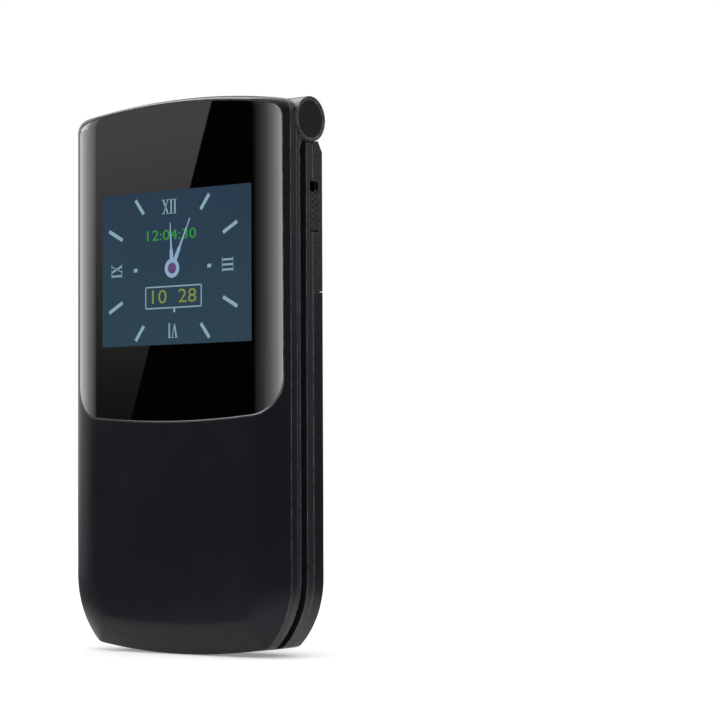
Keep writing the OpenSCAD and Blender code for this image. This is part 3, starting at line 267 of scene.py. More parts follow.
class Bench:
    """Modelling steps that the sub-assemblies share. Lengths come in millimetres."""

    SMOOTH_BELOW = 40.0
    FACE_WEIGHT = 80
    SAME_POINT = 0.0005
    FLAT_BELOW = 0.6

    @staticmethod
    def mode(name: str) -> None:
        """Goes into EDIT or OBJECT mode."""
        bpy.ops.object.mode_set(mode=name)

    @staticmethod
    def clear() -> None:
        """Leaves edit mode and deselects every object."""
        active = bpy.context.view_layer.objects.active
        if active is not None and active.mode != "OBJECT":
            Bench.mode("OBJECT")
        bpy.ops.object.select_all(action="DESELECT")

    @staticmethod
    def pick(*pieces: Piece) -> None:
        """Selects these pieces alone and makes the last one active."""
        Bench.clear()
        for piece in pieces:
            piece.select_set(True)
        bpy.context.view_layer.objects.active = pieces[-1]

    @staticmethod
    def rename(piece: Piece, name: str) -> Piece:
        """Names an object and its mesh alike."""
        piece.name = piece.data.name = name
        return piece

    @staticmethod
    def loft(name: str, rings: Sequence[Ring]) -> Piece:
        """Extrudes a flat face through rings of one point count.

        Args:
            name: Name of the piece.
            rings: Rings of points, the first of which is the starting face.

        Returns:
            The closed solid.
        """
        Bench.clear()
        bpy.ops.mesh.primitive_circle_add(vertices=len(rings[0]), radius=MM, fill_type="NGON")
        piece = Bench.rename(bpy.context.object, name)
        for vertex, point in zip(piece.data.vertices, rings[0]):
            vertex.co = Vector(point) * MM
        Bench.mode("EDIT")
        bpy.ops.mesh.select_mode(type="FACE")
        bpy.ops.mesh.select_all(action="SELECT")
        for before, after in zip(rings, rings[1:]):
            bpy.ops.mesh.extrude_region_move()
            Bench.move_ring(piece, before, after)
        bpy.ops.mesh.select_all(action="SELECT")
        bpy.ops.mesh.normals_make_consistent(inside=False)
        Bench.mode("OBJECT")
        return piece

    @staticmethod
    def move_ring(piece: Piece, before: Ring, after: Ring) -> None:
        """Moves the selected ring of a piece in edit mode from one place to the next.

        Args:
            piece: Piece in edit mode.
            before: Points where the ring is.
            after: Points where the ring goes, in the same order.
        """
        tree = KDTree(len(before))
        for index, point in enumerate(before):
            tree.insert(Vector(point) * MM, index)
        tree.balance()
        mesh = bmesh.from_edit_mesh(piece.data)
        for vertex in [v for v in mesh.verts if v.select]:
            vertex.co = Vector(after[tree.find(vertex.co)[1]]) * MM
        bmesh.update_edit_mesh(piece.data)

    @staticmethod
    def hoop(name: str, rings: Sequence[Ring]) -> Piece:
        """Bridges closed rings of one point count into a hoop, and the last one back to the first.

        Args:
            name: Name of the piece.
            rings: Rings of points around the hoop's section.

        Returns:
            The closed hoop.
        """
        Bench.clear()
        count = len(rings[0])
        hoops = []
        for ring in rings:
            bpy.ops.mesh.primitive_circle_add(vertices=count, radius=MM, fill_type="NOTHING")
            hoops.append(bpy.context.object)
            for vertex, point in zip(hoops[-1].data.vertices, ring):
                vertex.co = Vector(point) * MM
        piece = Bench.join(name, hoops)
        Bench.mode("EDIT")
        bpy.ops.mesh.select_mode(type="EDGE")
        bpy.ops.mesh.select_all(action="SELECT")
        bpy.ops.mesh.bridge_edge_loops(type="CLOSED")
        bpy.ops.mesh.select_all(action="SELECT")
        bpy.ops.mesh.normals_make_consistent(inside=False)
        Bench.mode("OBJECT")
        return piece

    @staticmethod
    def prism(name: str, plan: Sequence[Point], y0: float, y1: float) -> Piece:
        """Extrudes a plan drawn in X and Z from one depth to another."""
        return Bench.loft(name, [[(x, y0, z) for x, z in plan], [(x, y1, z) for x, z in plan]])

    @staticmethod
    def box(name: str, low: Sequence[float], high: Sequence[float]) -> Piece:
        """Makes a box between two corners.

        Args:
            name: Name of the piece.
            low: Lowest corner.
            high: Highest corner.

        Returns:
            The box, placed in its mesh.
        """
        Bench.clear()
        middle = [(a + b) / 2 * MM for a, b in zip(low, high)]
        bpy.ops.mesh.primitive_cube_add(size=1, location=middle)
        piece = Bench.rename(bpy.context.object, name)
        piece.scale = [(b - a) * MM for a, b in zip(low, high)]
        bpy.ops.object.transform_apply()
        return piece

    @staticmethod
    def rod(
        name: str, middle: Sequence[float], radius: float, length: float, turn: Sequence[float], sides: int
    ) -> Piece:
        """Makes a rod about its middle.

        Args:
            name: Name of the piece.
            middle: Middle of the rod.
            radius: Radius of the rod.
            length: Length of the rod.
            turn: Turn in degrees that brings it from upright.
            sides: Number of its sides.

        Returns:
            The rod, placed in its mesh.
        """
        Bench.clear()
        bpy.ops.mesh.primitive_cylinder_add(
            vertices=sides,
            radius=radius * MM,
            depth=length * MM,
            location=Vector(middle) * MM,
            rotation=[math.radians(a) for a in turn],
        )
        piece = Bench.rename(bpy.context.object, name)
        bpy.ops.object.transform_apply()
        return piece

    @staticmethod
    def combine(target: Piece, tool: Piece, how: Cut) -> Piece:
        """Combines a tool with a target and removes the tool.

        Args:
            target: Solid that is changed.
            tool: Solid that changes it.
            how: Way in which they combine.

        Returns:
            The changed target.
        """
        modifier = target.modifiers.new("combine", "BOOLEAN")
        modifier.object = tool
        modifier.operation = how.value
        modifier.solver = "EXACT"
        Bench.pick(target)
        bpy.ops.object.modifier_apply(modifier=modifier.name)
        bpy.data.objects.remove(tool)
        return target

    @staticmethod
    def cut(target: Piece, tool: Piece) -> Piece:
        """Takes a tool's solid away from a target."""
        return Bench.combine(target, tool, Cut.TAKE_AWAY)

    @staticmethod
    def soften(piece: Piece, width: float, angle: float = 28.0, segments: int = 2) -> Piece:
        """Rounds the sharp edges of a piece and smooths what lies between them.

        Args:
            piece: Piece to soften.
            width: Width of the rounding.
            angle: Least angle in degrees of a sharp edge.
            segments: Number of steps across the rounding.

        Returns:
            The softened piece.
        """
        Bench.pick(piece)
        bevel = piece.modifiers.new("rounded_edges", "BEVEL")
        bevel.width = width * MM
        bevel.segments = segments
        bevel.limit_method = "ANGLE"
        bevel.angle_limit = math.radians(angle)
        bevel.miter_outer = "MITER_ARC"
        bpy.ops.object.modifier_apply(modifier=bevel.name)
        return Bench.smooth(piece, Bench.SMOOTH_BELOW)

    @staticmethod
    def smooth(piece: Piece, angle: float) -> Piece:
        """Shades a piece smooth below an angle and weights its normals by area.

        Args:
            piece: Piece to shade.
            angle: Angle in degrees above which edges stay sharp.

        Returns:
            The shaded piece.
        """
        Bench.pick(piece)
        bpy.ops.object.shade_smooth_by_angle(angle=math.radians(angle))
        weighted = piece.modifiers.new("weighted_normals", "WEIGHTED_NORMAL")
        weighted.keep_sharp = True
        weighted.weight = Bench.FACE_WEIGHT
        bpy.ops.object.modifier_apply(modifier=weighted.name)
        return piece

    @staticmethod
    def copy_node(node: str, name: str) -> Piece:
        """Copies a solid's mesh and merges its loose triangles into whole faces.

        Args:
            node: Name of the solid.
            name: Name of the new piece.

        Returns:
            The copy, with whole flat faces.
        """
        mesh = frame["nodes"][node].data.copy()
        mesh.materials.clear()
        piece = bpy.data.objects.new(name, mesh)
        bpy.context.scene.collection.objects.link(piece)
        Bench.rename(piece, name)
        Bench.pick(piece)
        if mesh.has_custom_normals:
            bpy.ops.mesh.customdata_custom_splitnormals_clear()
        Bench.mode("EDIT")
        bpy.ops.mesh.select_all(action="SELECT")
        bpy.ops.mesh.remove_doubles(threshold=Bench.SAME_POINT * MM)
        bpy.ops.mesh.dissolve_limited(angle_limit=math.radians(Bench.FLAT_BELOW))
        Bench.mode("OBJECT")
        return piece

    @staticmethod
    def join(name: str, pieces: Sequence[Piece]) -> Piece:
        """Joins pieces into one.

        Args:
            name: Name of the result.
            pieces: Pieces to join.

        Returns:
            The joined piece.
        """
        Bench.pick(*pieces)
        if len(pieces) > 1:
            bpy.ops.object.join()
        return Bench.rename(bpy.context.view_layer.objects.active, name)

    @staticmethod
    def turn_about(piece: Piece, centre: Sequence[float], turn: Sequence[float]) -> Piece:
        """Turns a piece's mesh about a point.

        Args:
            piece: Piece to turn.
            centre: Point that stays.
            turn: Angles in degrees about X, Y and Z.

        Returns:
            The turned piece.
        """
        middle = Matrix.Translation(Vector(centre) * MM)
        spin = Euler([math.radians(a) for a in turn]).to_matrix().to_4x4()
        piece.data.transform(middle @ spin @ middle.inverted())
        return piece

    @staticmethod
    def words(
        name: str, text: str, height: float, place: Sequence[float], facing: Facing, thickness: float
    ) -> Piece:
        """Sets plain figures as thin raised shapes.

        Args:
            name: Name of the piece.
            text: Figures to set.
            height: Height of the type.
            place: Middle of the figures.
            facing: Way that the figures face.
            thickness: How far they stand up.

        Returns:
            The figures as a mesh, placed in it.
        """
        Bench.clear()
        bpy.ops.object.text_add()
        piece = bpy.context.object
        piece.data.body = text
        piece.data.size = height * MM
        piece.data.align_x = piece.data.align_y = "CENTER"
        piece.data.extrude = thickness / 2 * MM
        piece.data.resolution_u = 4
        bpy.ops.object.convert(target="MESH")
        piece = Bench.rename(bpy.context.object, name)
        piece.rotation_euler = [math.radians(a) for a in facing.value]
        piece.location = Vector(place) * MM
        bpy.ops.object.transform_apply()
        return piece

    @staticmethod
    def fit_width(piece: Piece, width: float) -> Piece:
        """Stretches a piece across X about its middle to a width.

        Args:
            piece: Piece to stretch.
            width: Width that it gets.

        Returns:
            The stretched piece.
        """
        across = [v.co.x for v in piece.data.vertices]
        centre = (min(across) + max(across)) / 2
        share = width * MM / (max(across) - min(across))
        for vertex in piece.data.vertices:
            vertex.co.x = centre + (vertex.co.x - centre) * share
        return piece


def stroke(start: Point, end: Point, w_start: float, w_end: float | None = None) -> list[Point]:
    """Outline of a straight stroke.

    Args:
        start: Where the stroke starts.
        end: Where it ends.
        w_start: Width at its start.
        w_end: Width at its end, or the same width when left out.

    Returns:
        The four corners of the stroke.
    """
    w_end = w_start if w_end is None else w_end
    along = Vector((end[0] - start[0], end[1] - start[1])).normalized()
    across = Vector((-along[1], along[0]))
    corners = [(start, w_start / 2), (end, w_end / 2), (end, -w_end / 2), (start, -w_start / 2)]
    return [(p[0] + across[0] * h, p[1] + across[1] * h) for p, h in corners]


def circle(radius: float, sides: int) -> list[Point]:
    """Points of a circle about the origin."""
    turns = [math.tau * i / sides for i in range(sides)]
    return [(radius * math.cos(a), radius * math.sin(a)) for a in turns]


def round_plan(x: float, z: float, w: float, h: float, r: float, steps: int = 6) -> list[Point]:
    """Plan of a rectangle with round corners.

    Args:
        x: Middle across.
        z: Middle in height.
        w: Width.
        h: Height.
        r: Corner radius.
        steps: Steps along each corner.

    Returns:
        The points around the rectangle.
    """
    plan = []
    for sx, sz, start in ((1, 1, 0), (-1, 1, 90), (-1, -1, 180), (1, -1, 270)):
        middle = (x + sx * (w / 2 - r), z + sz * (h / 2 - r))
        plan += Outline.arc(middle, r, start, start + 90, steps)
    return plan


# ---- finishes ----


class Wiring:
    """Adds and joins the nodes of one node tree."""

    def __init__(self, tree: bpy.types.NodeTree) -> None:
        """Empties the tree that it is to fill."""
        self.tree = tree
        tree.nodes.clear()

    def feed(self, node: bpy.types.Node, **inputs: object) -> bpy.types.Node:
        """Sets or wires the inputs of a node.

        Args:
            node: Node to feed.
            **inputs: Values or sockets, named as the inputs with underscores for spaces, or i and a number.

        Returns:
            The node.
        """
        for name, value in inputs.items():
            numbered = name[0] == "i" and name[1:].isdigit()
            socket = node.inputs[int(name[1:]) if numbered else name.replace("_", " ")]
            if isinstance(value, Socket):
                self.tree.links.new(value, socket)
            else:
                socket.default_value = value
        return node

    def add(self, kind: str, **inputs: object) -> bpy.types.Node:
        """Adds a node and feeds its inputs."""
        return self.feed(self.tree.nodes.new(kind), **inputs)

    def place(self) -> Socket:
        """Place in the object's own coordinates."""
        return self.add("ShaderNodeTexCoord").outputs["Object"]

    def group(self, group: bpy.types.NodeTree, **inputs: object) -> bpy.types.Node:
        """Places a shader group and feeds its inputs.

        Args:
            group: Group to place.
            **inputs: Values or sockets for its inputs, named with underscores for spaces.

        Returns:
            The group's node.
        """
        node = self.tree.nodes.new("ShaderNodeGroup")
        node.node_tree = group
        return self.feed(node, **inputs)

    def surface(self, **inputs: object) -> None:
        """Ends a material in a principled shader with these inputs."""
        shader = self.add("ShaderNodeBsdfPrincipled", **inputs)
        self.add("ShaderNodeOutputMaterial", Surface=shader.outputs[0])

    def math(self, operation: str, a: object, b: object = 0.0, clamp: bool = False) -> Socket:
        """Adds a sum of two numbers.

        Args:
            operation: Name of the operation.
            a: First number or socket.
            b: Second number or socket.
            clamp: Whether the result stays between 0 and 1.

        Returns:
            The socket with the result.
        """
        node = self.add("ShaderNodeMath", i0=a, i1=b)
        node.operation = operation
        node.use_clamp = clamp
        return node.outputs[0]

    def mix(self, share: object, first: object, second: object) -> Socket:
        """Mixes two colours.

        Args:
            share: Share of the second colour.
            first: First colour.
            second: Second colour.

        Returns:
            The socket with the mixed colour.
        """
        node = self.tree.nodes.new("ShaderNodeMix")
        node.data_type = "RGBA"
        return self.feed(node, i0=share, i6=first, i7=second).outputs[2]

    def span(
        self, value: object, low: float, high: float, to_low: float = 0.0, to_high: float = 1.0
    ) -> Socket:
        """Maps the range from low to high onto the second range and clamps it there."""
        node = self.add("ShaderNodeMapRange", i0=value, i1=low, i2=high, i3=to_low, i4=to_high)
        return node.outputs[0]


WHITE, BLACK = (1.0, 1.0, 1.0, 1.0), (0.0, 0.0, 0.0, 1.0)


def rgba(colour: Colour) -> tuple[float, float, float, float]:
    """Adds full opacity to a colour."""
    return (*colour, 1.0)


def new_group(
    name: str, inputs: dict[str, tuple[str, object]], outputs: dict[str, str]
) -> bpy.types.NodeTree:
    """Makes an empty shader group with named sockets.

    Args:
        name: Name of the group.
        inputs: Type and first value of each input.
        outputs: Type of each output.

    Returns:
        The group with its sockets.
    """
    group = bpy.data.node_groups.new(name, "ShaderNodeTree")
    for label, (kind, value) in inputs.items():
        socket = group.interface.new_socket(label, in_out="INPUT", socket_type=kind)
        socket.default_value = value
    for label, kind in outputs.items():
        group.interface.new_socket(label, in_out="OUTPUT", socket_type=kind)
    return group


FLOAT, COLOUR, VECTOR = "NodeSocketFloat", "NodeSocketColor", "NodeSocketVector"


class Effects:
    """Shader groups that several finishes use, each built once."""

    def __init__(self) -> None:
        """Builds the groups."""
        self.grain = self.build_grain()
        self.edge_wear_and_highlight = self.build_edge_wear_and_highlight()
        self.lines = self.build_lines()

    @staticmethod
    def build_grain() -> bpy.types.NodeTree:
        """Moulded grain: height and light flecks from object coordinates; the flecks are partly the grain's
        own tone and partly a painted sparkle.

        Returns:
            The group.
        """
        group = new_group(
            "moulded_grain",
            {"Scale": (FLOAT, 6000.0), "Fleck Share": (FLOAT, 0.5)},
            {"Height": FLOAT, "Fleck": FLOAT},
        )
        wire = Wiring(group)
        given = wire.add("NodeGroupInput")
        place = wire.place()
        pebble = wire.add("ShaderNodeTexVoronoi", Vector=place, Scale=given.outputs["Scale"])
        pebble.feature = "SMOOTH_F1"
        fine = wire.add("ShaderNodeTexNoise", Vector=place, Scale=given.outputs["Scale"], Detail=2.0)
        coarse = wire.math("MULTIPLY", pebble.outputs["Distance"], 0.6)
        height = wire.math("ADD", coarse, wire.math("MULTIPLY", fine.outputs[0], 0.4))
        fleck = wire.span(fine.outputs[0], 0.5, 0.72)
        fleck = wire.math("MULTIPLY", fleck, given.outputs["Fleck Share"])
        wire.add("NodeGroupOutput", Height=height, Fleck=fleck)
        return group

    @staticmethod
    def build_edge_wear_and_highlight() -> bpy.types.NodeTree:
        """Edges made lighter, partly as wear and partly as a painted highlight along them, and faint smudges
        in the gloss.

        Returns:
            The group.
        """
        group = new_group(
            "edge_wear_and_highlight",
            {
                "Colour": (COLOUR, (0.1, 0.1, 0.1, 1.0)),
                "Rubbed Colour": (COLOUR, (0.2, 0.2, 0.2, 1.0)),
                "Edge Reach": (FLOAT, 0.0002),
                "Rubbing": (FLOAT, 0.3),
                "Roughness": (FLOAT, 0.4),
                "Smudges": (FLOAT, 0.05),
            },
            {"Colour": COLOUR, "Roughness": FLOAT},
        )
        wire = Wiring(group)
        given = wire.add("NodeGroupInput")
        place = wire.place()
        rounded = wire.add("ShaderNodeBevel", Radius=given.outputs["Edge Reach"])
        rounded.samples = 3
        flat = wire.add("ShaderNodeNewGeometry").outputs["Normal"]
        lean = wire.add("ShaderNodeVectorMath", i0=rounded.outputs[0], i1=flat)
        lean.operation = "DOT_PRODUCT"
        # Edges turn lighter here: partly wear, partly a painted highlight along them.
        edge = wire.span(lean.outputs["Value"], 0.99, 0.86)
        broken = wire.add("ShaderNodeTexNoise", Vector=place, Scale=900.0, Detail=4.0).outputs[0]
        edge = wire.math("MULTIPLY", edge, wire.span(broken, 0.35, 0.6, 0.25, 1.0))
        edge = wire.math("MULTIPLY", edge, given.outputs["Rubbing"], clamp=True)
        colour = wire.mix(edge, given.outputs["Colour"], given.outputs["Rubbed Colour"])
        cloud = wire.add("ShaderNodeTexNoise", Vector=place, Scale=55.0, Detail=5.0, Roughness=0.6).outputs[0]
        smudge = wire.math("MULTIPLY", wire.span(cloud, 0.42, 0.68, -0.4, 1.0), given.outputs["Smudges"])
        roughness = wire.math("ADD", given.outputs["Roughness"], smudge, clamp=True)
        wire.add("NodeGroupOutput", Colour=colour, Roughness=roughness)
        return group

    @staticmethod
    def build_lines() -> bpy.types.NodeTree:
        """Fine drawn lines, as on brushed or rolled metal.

        Returns:
            The group.
        """
        group = new_group(
            "drawn_lines",
            {"Stretch": (VECTOR, (1.0, 1.0, 1.0)), "Scale": (FLOAT, 3000.0)},
            {"Height": FLOAT, "Tone": FLOAT},
        )
        wire = Wiring(group)
        given = wire.add("NodeGroupInput")
        place = wire.place()
        pulled = wire.add("ShaderNodeMapping", Vector=place, Scale=given.outputs["Stretch"]).outputs[0]
        line = wire.add("ShaderNodeTexNoise", Vector=pulled, Scale=given.outputs["Scale"], Detail=3.0)
        line = line.outputs[0]
        wide = wire.add("ShaderNodeTexNoise", Vector=place, Scale=300.0, Detail=3.0).outputs[0]
        tone = wire.math("ADD", wire.math("MULTIPLY", line, 0.6), wire.math("MULTIPLY", wide, 0.4))
        wire.add("NodeGroupOutput", Height=line, Tone=tone)
        return group


EFFECTS = Effects()


def new_material(name: str) -> tuple[bpy.types.Material, Wiring]:
    """Makes an empty material.

    Args:
        name: Name of the material.

    Returns:
        The material and its wiring.
    """
    material = bpy.data.materials.new(name)
    material.use_nodes = True
    return material, Wiring(material.node_tree)


def add_edge_wear_and_highlight(
    wire: Wiring, finish: "Plastic | Metal | ClearPane", colour: object, rubbed: Colour
) -> bpy.types.Node:
    """Lays a finish's edge wear and painted edge highlight over its colour.

    Args:
        wire: Wiring of the material.
        finish: Finish with the measures of its edge wear and painted highlight.
        colour: Colour or socket under the wear.
        rubbed: Colour of its edges, lightened partly by wear and partly as a painted highlight.

    Returns:
        The node with the worn colour and roughness.
    """
    return wire.group(
        EFFECTS.edge_wear_and_highlight,
        Colour=colour,
        Rubbed_Colour=rgba(rubbed),
        Edge_Reach=finish.edge_reach * MM,
        Rubbing=finish.rubbing,
        Roughness=finish.roughness,
        Smudges=finish.smudges,
    )


@dataclass(frozen=True)
class Plastic:
    """Moulded or painted plastic with grain, faint smudges, and edges lightened partly by wear and partly as
    a painted highlight.
    """

    name: str
    colour: Colour
    rubbed: Colour = (0.06, 0.06, 0.065)
    roughness: float = 0.4
    specular: float = 0.3
    grains_per_mm: float = 6.0
    grain_depth: float = 0.004
    fleck: float = 0.2
    fleck_and_sparkle_colour: Colour = (0.05, 0.05, 0.055)
    rubbing: float = 0.35
    edge_reach: float = 0.24
    smudges: float = 0.05
    coat: float = 0.0
    coat_roughness: float = 0.04
    glow: Colour = (0.0, 0.0, 0.0)
    glow_strength: float = 0.0

    def build(self) -> bpy.types.Material:
        """Makes the material.

        Returns:
            The material.
        """
        material, wire = new_material(self.name)
        grain = wire.group(EFFECTS.grain, Scale=self.grains_per_mm / MM, Fleck_Share=self.fleck)
        tinted = wire.mix(grain.outputs["Fleck"], rgba(self.colour), rgba(self.fleck_and_sparkle_colour))
        used = add_edge_wear_and_highlight(wire, self, tinted, self.rubbed)
        depth = self.grain_depth * MM
        bump = wire.add("ShaderNodeBump", Height=grain.outputs["Height"], Distance=depth)
        wire.surface(
            Base_Color=used.outputs["Colour"],
            Roughness=used.outputs["Roughness"],
            Specular_IOR_Level=self.specular,
            Coat_Weight=self.coat,
            Coat_Roughness=self.coat_roughness,
            Emission_Color=rgba(self.glow),
            Emission_Strength=self.glow_strength,
            Normal=bump.outputs[0],
        )
        return material


@dataclass(frozen=True)
class Metal:
    """Plated or drawn metal with fine lines and an uneven tone."""

    name: str
    colour: Colour
    dull: Colour
    roughness: float = 0.25
    stretch: tuple[float, float, float] = (1.0, 1.0, 12.0)
    lines_per_mm: float = 5.0
    line_depth: float = 0.002
    specular: float = 0.5
    edge_reach: float = 0.08
    edge_gain: float = 1.25
    rubbing: float = 0.6
    smudges: float = 0.06

    def build(self) -> bpy.types.Material:
        """Makes the material.

        Returns:
            The material.
        """
        material, wire = new_material(self.name)
        lines = wire.group(EFFECTS.lines, Stretch=self.stretch, Scale=self.lines_per_mm / MM)
        colour = wire.mix(lines.outputs["Tone"], rgba(self.colour), rgba(self.dull))
        bright = tuple(min(1.0, c * self.edge_gain) for c in self.colour)
        used = add_edge_wear_and_highlight(wire, self, colour, bright)
        depth = self.line_depth * MM
        bump = wire.add("ShaderNodeBump", Height=lines.outputs["Height"], Distance=depth)
        wire.surface(
            Base_Color=used.outputs["Colour"],
            Roughness=used.outputs["Roughness"],
            Metallic=1.0,
            Specular_IOR_Level=self.specular,
            Normal=bump.outputs[0],
        )
        return material


@dataclass(frozen=True)
class ClearPane:
    """Clear glossy pane with faint smudges."""

    name: str
    tint: Colour = (0.01, 0.01, 0.012)
    rubbed: Colour = (0.3, 0.3, 0.32)
    alpha: float = 0.12
    edge_reach: float = 0.1
    rubbing: float = 0.3
    roughness: float = 0.03
    smudges: float = 0.05

    def build(self) -> bpy.types.Material:
        """Makes the material.

        Returns:
            The material.
        """
        material, wire = new_material(self.name)
        used = add_edge_wear_and_highlight(wire, self, rgba(self.tint), self.rubbed)
        gloss = wire.add("ShaderNodeLayerWeight", Blend=0.25).outputs["Fresnel"]
        alpha = wire.math("ADD", wire.math("MULTIPLY", gloss, 0.5), self.alpha, clamp=True)
        wire.surface(Base_Color=used.outputs["Colour"], Roughness=used.outputs["Roughness"], Alpha=alpha)
        return material


@dataclass(frozen=True)
class Display:
    """Lit display: two colours that blend over its height, with a fine dot grid."""

    name: str
    low: Colour
    high: Colour
    z_low: float
    z_high: float
    glow: float = 0.5
    specular: float = 0.1
    roughness: float = 0.3
    dots_per_mm: float = 5.0

    def build(self) -> bpy.types.Material:
        """Makes the material.

        Returns:
            The material.
        """
        material, wire = new_material(self.name)
        place = wire.place()
        parts = wire.add("ShaderNodeSeparateXYZ", Vector=place)
        rise = wire.span(parts.outputs["Z"], self.z_low * MM, self.z_high * MM)
        cloud = wire.add("ShaderNodeTexNoise", Vector=place, Scale=60.0, Detail=2.0).outputs[0]
        drift = wire.math("MULTIPLY", wire.math("SUBTRACT", cloud, 0.5), 0.6)
        share = wire.math("ADD", rise, drift, clamp=True)
        colour = wire.mix(share, rgba(self.low), rgba(self.high))
        pace = self.dots_per_mm / MM * math.tau
        waves = [wire.math("SINE", wire.math("MULTIPLY", parts.outputs[axis], pace)) for axis in ("X", "Z")]
        grid = wire.span(wire.math("MAXIMUM", waves[0], waves[1]), 0.9, 1.0, 0.0, 0.25)
        colour = wire.mix(grid, colour, BLACK)
        wire.surface(
            Base_Color=colour,
            Roughness=self.roughness,
            Specular_IOR_Level=self.specular,
            Emission_Color=colour,
            Emission_Strength=self.glow,
        )
        return material


@dataclass(frozen=True)
class Board:
    """Circuit board: lacquer over fine copper tracks, with bright pads."""

    name: str
    lacquer: Colour = (0.006, 0.06, 0.03)
    track: Colour = (0.02, 0.12, 0.05)
    pad: Colour = (0.75, 0.55, 0.2)

    def build(self) -> bpy.types.Material:
        """Makes the material.

        Returns:
            The material.
        """
        material, wire = new_material(self.name)
        place = wire.place()
        tracks = wire.add("ShaderNodeTexVoronoi", Vector=place, Scale=700.0)
        tracks.distance = "CHEBYCHEV"
        lane = wire.span(tracks.outputs["Distance"], 0.3, 0.34)
        dots = wire.add("ShaderNodeTexVoronoi", Vector=place, Scale=450.0)
        pad = wire.span(dots.outputs["Distance"], 0.16, 0.14)
        colour = wire.mix(pad, wire.mix(lane, rgba(self.lacquer), rgba(self.track)), rgba(self.pad))
        bump = wire.add("ShaderNodeBump", Height=lane, Distance=0.01 * MM)
        roughness = wire.span(pad, 0.0, 1.0, 0.35, 0.25)
        wire.surface(Base_Color=colour, Metallic=pad, Roughness=roughness, Normal=bump.outputs[0])
        return material
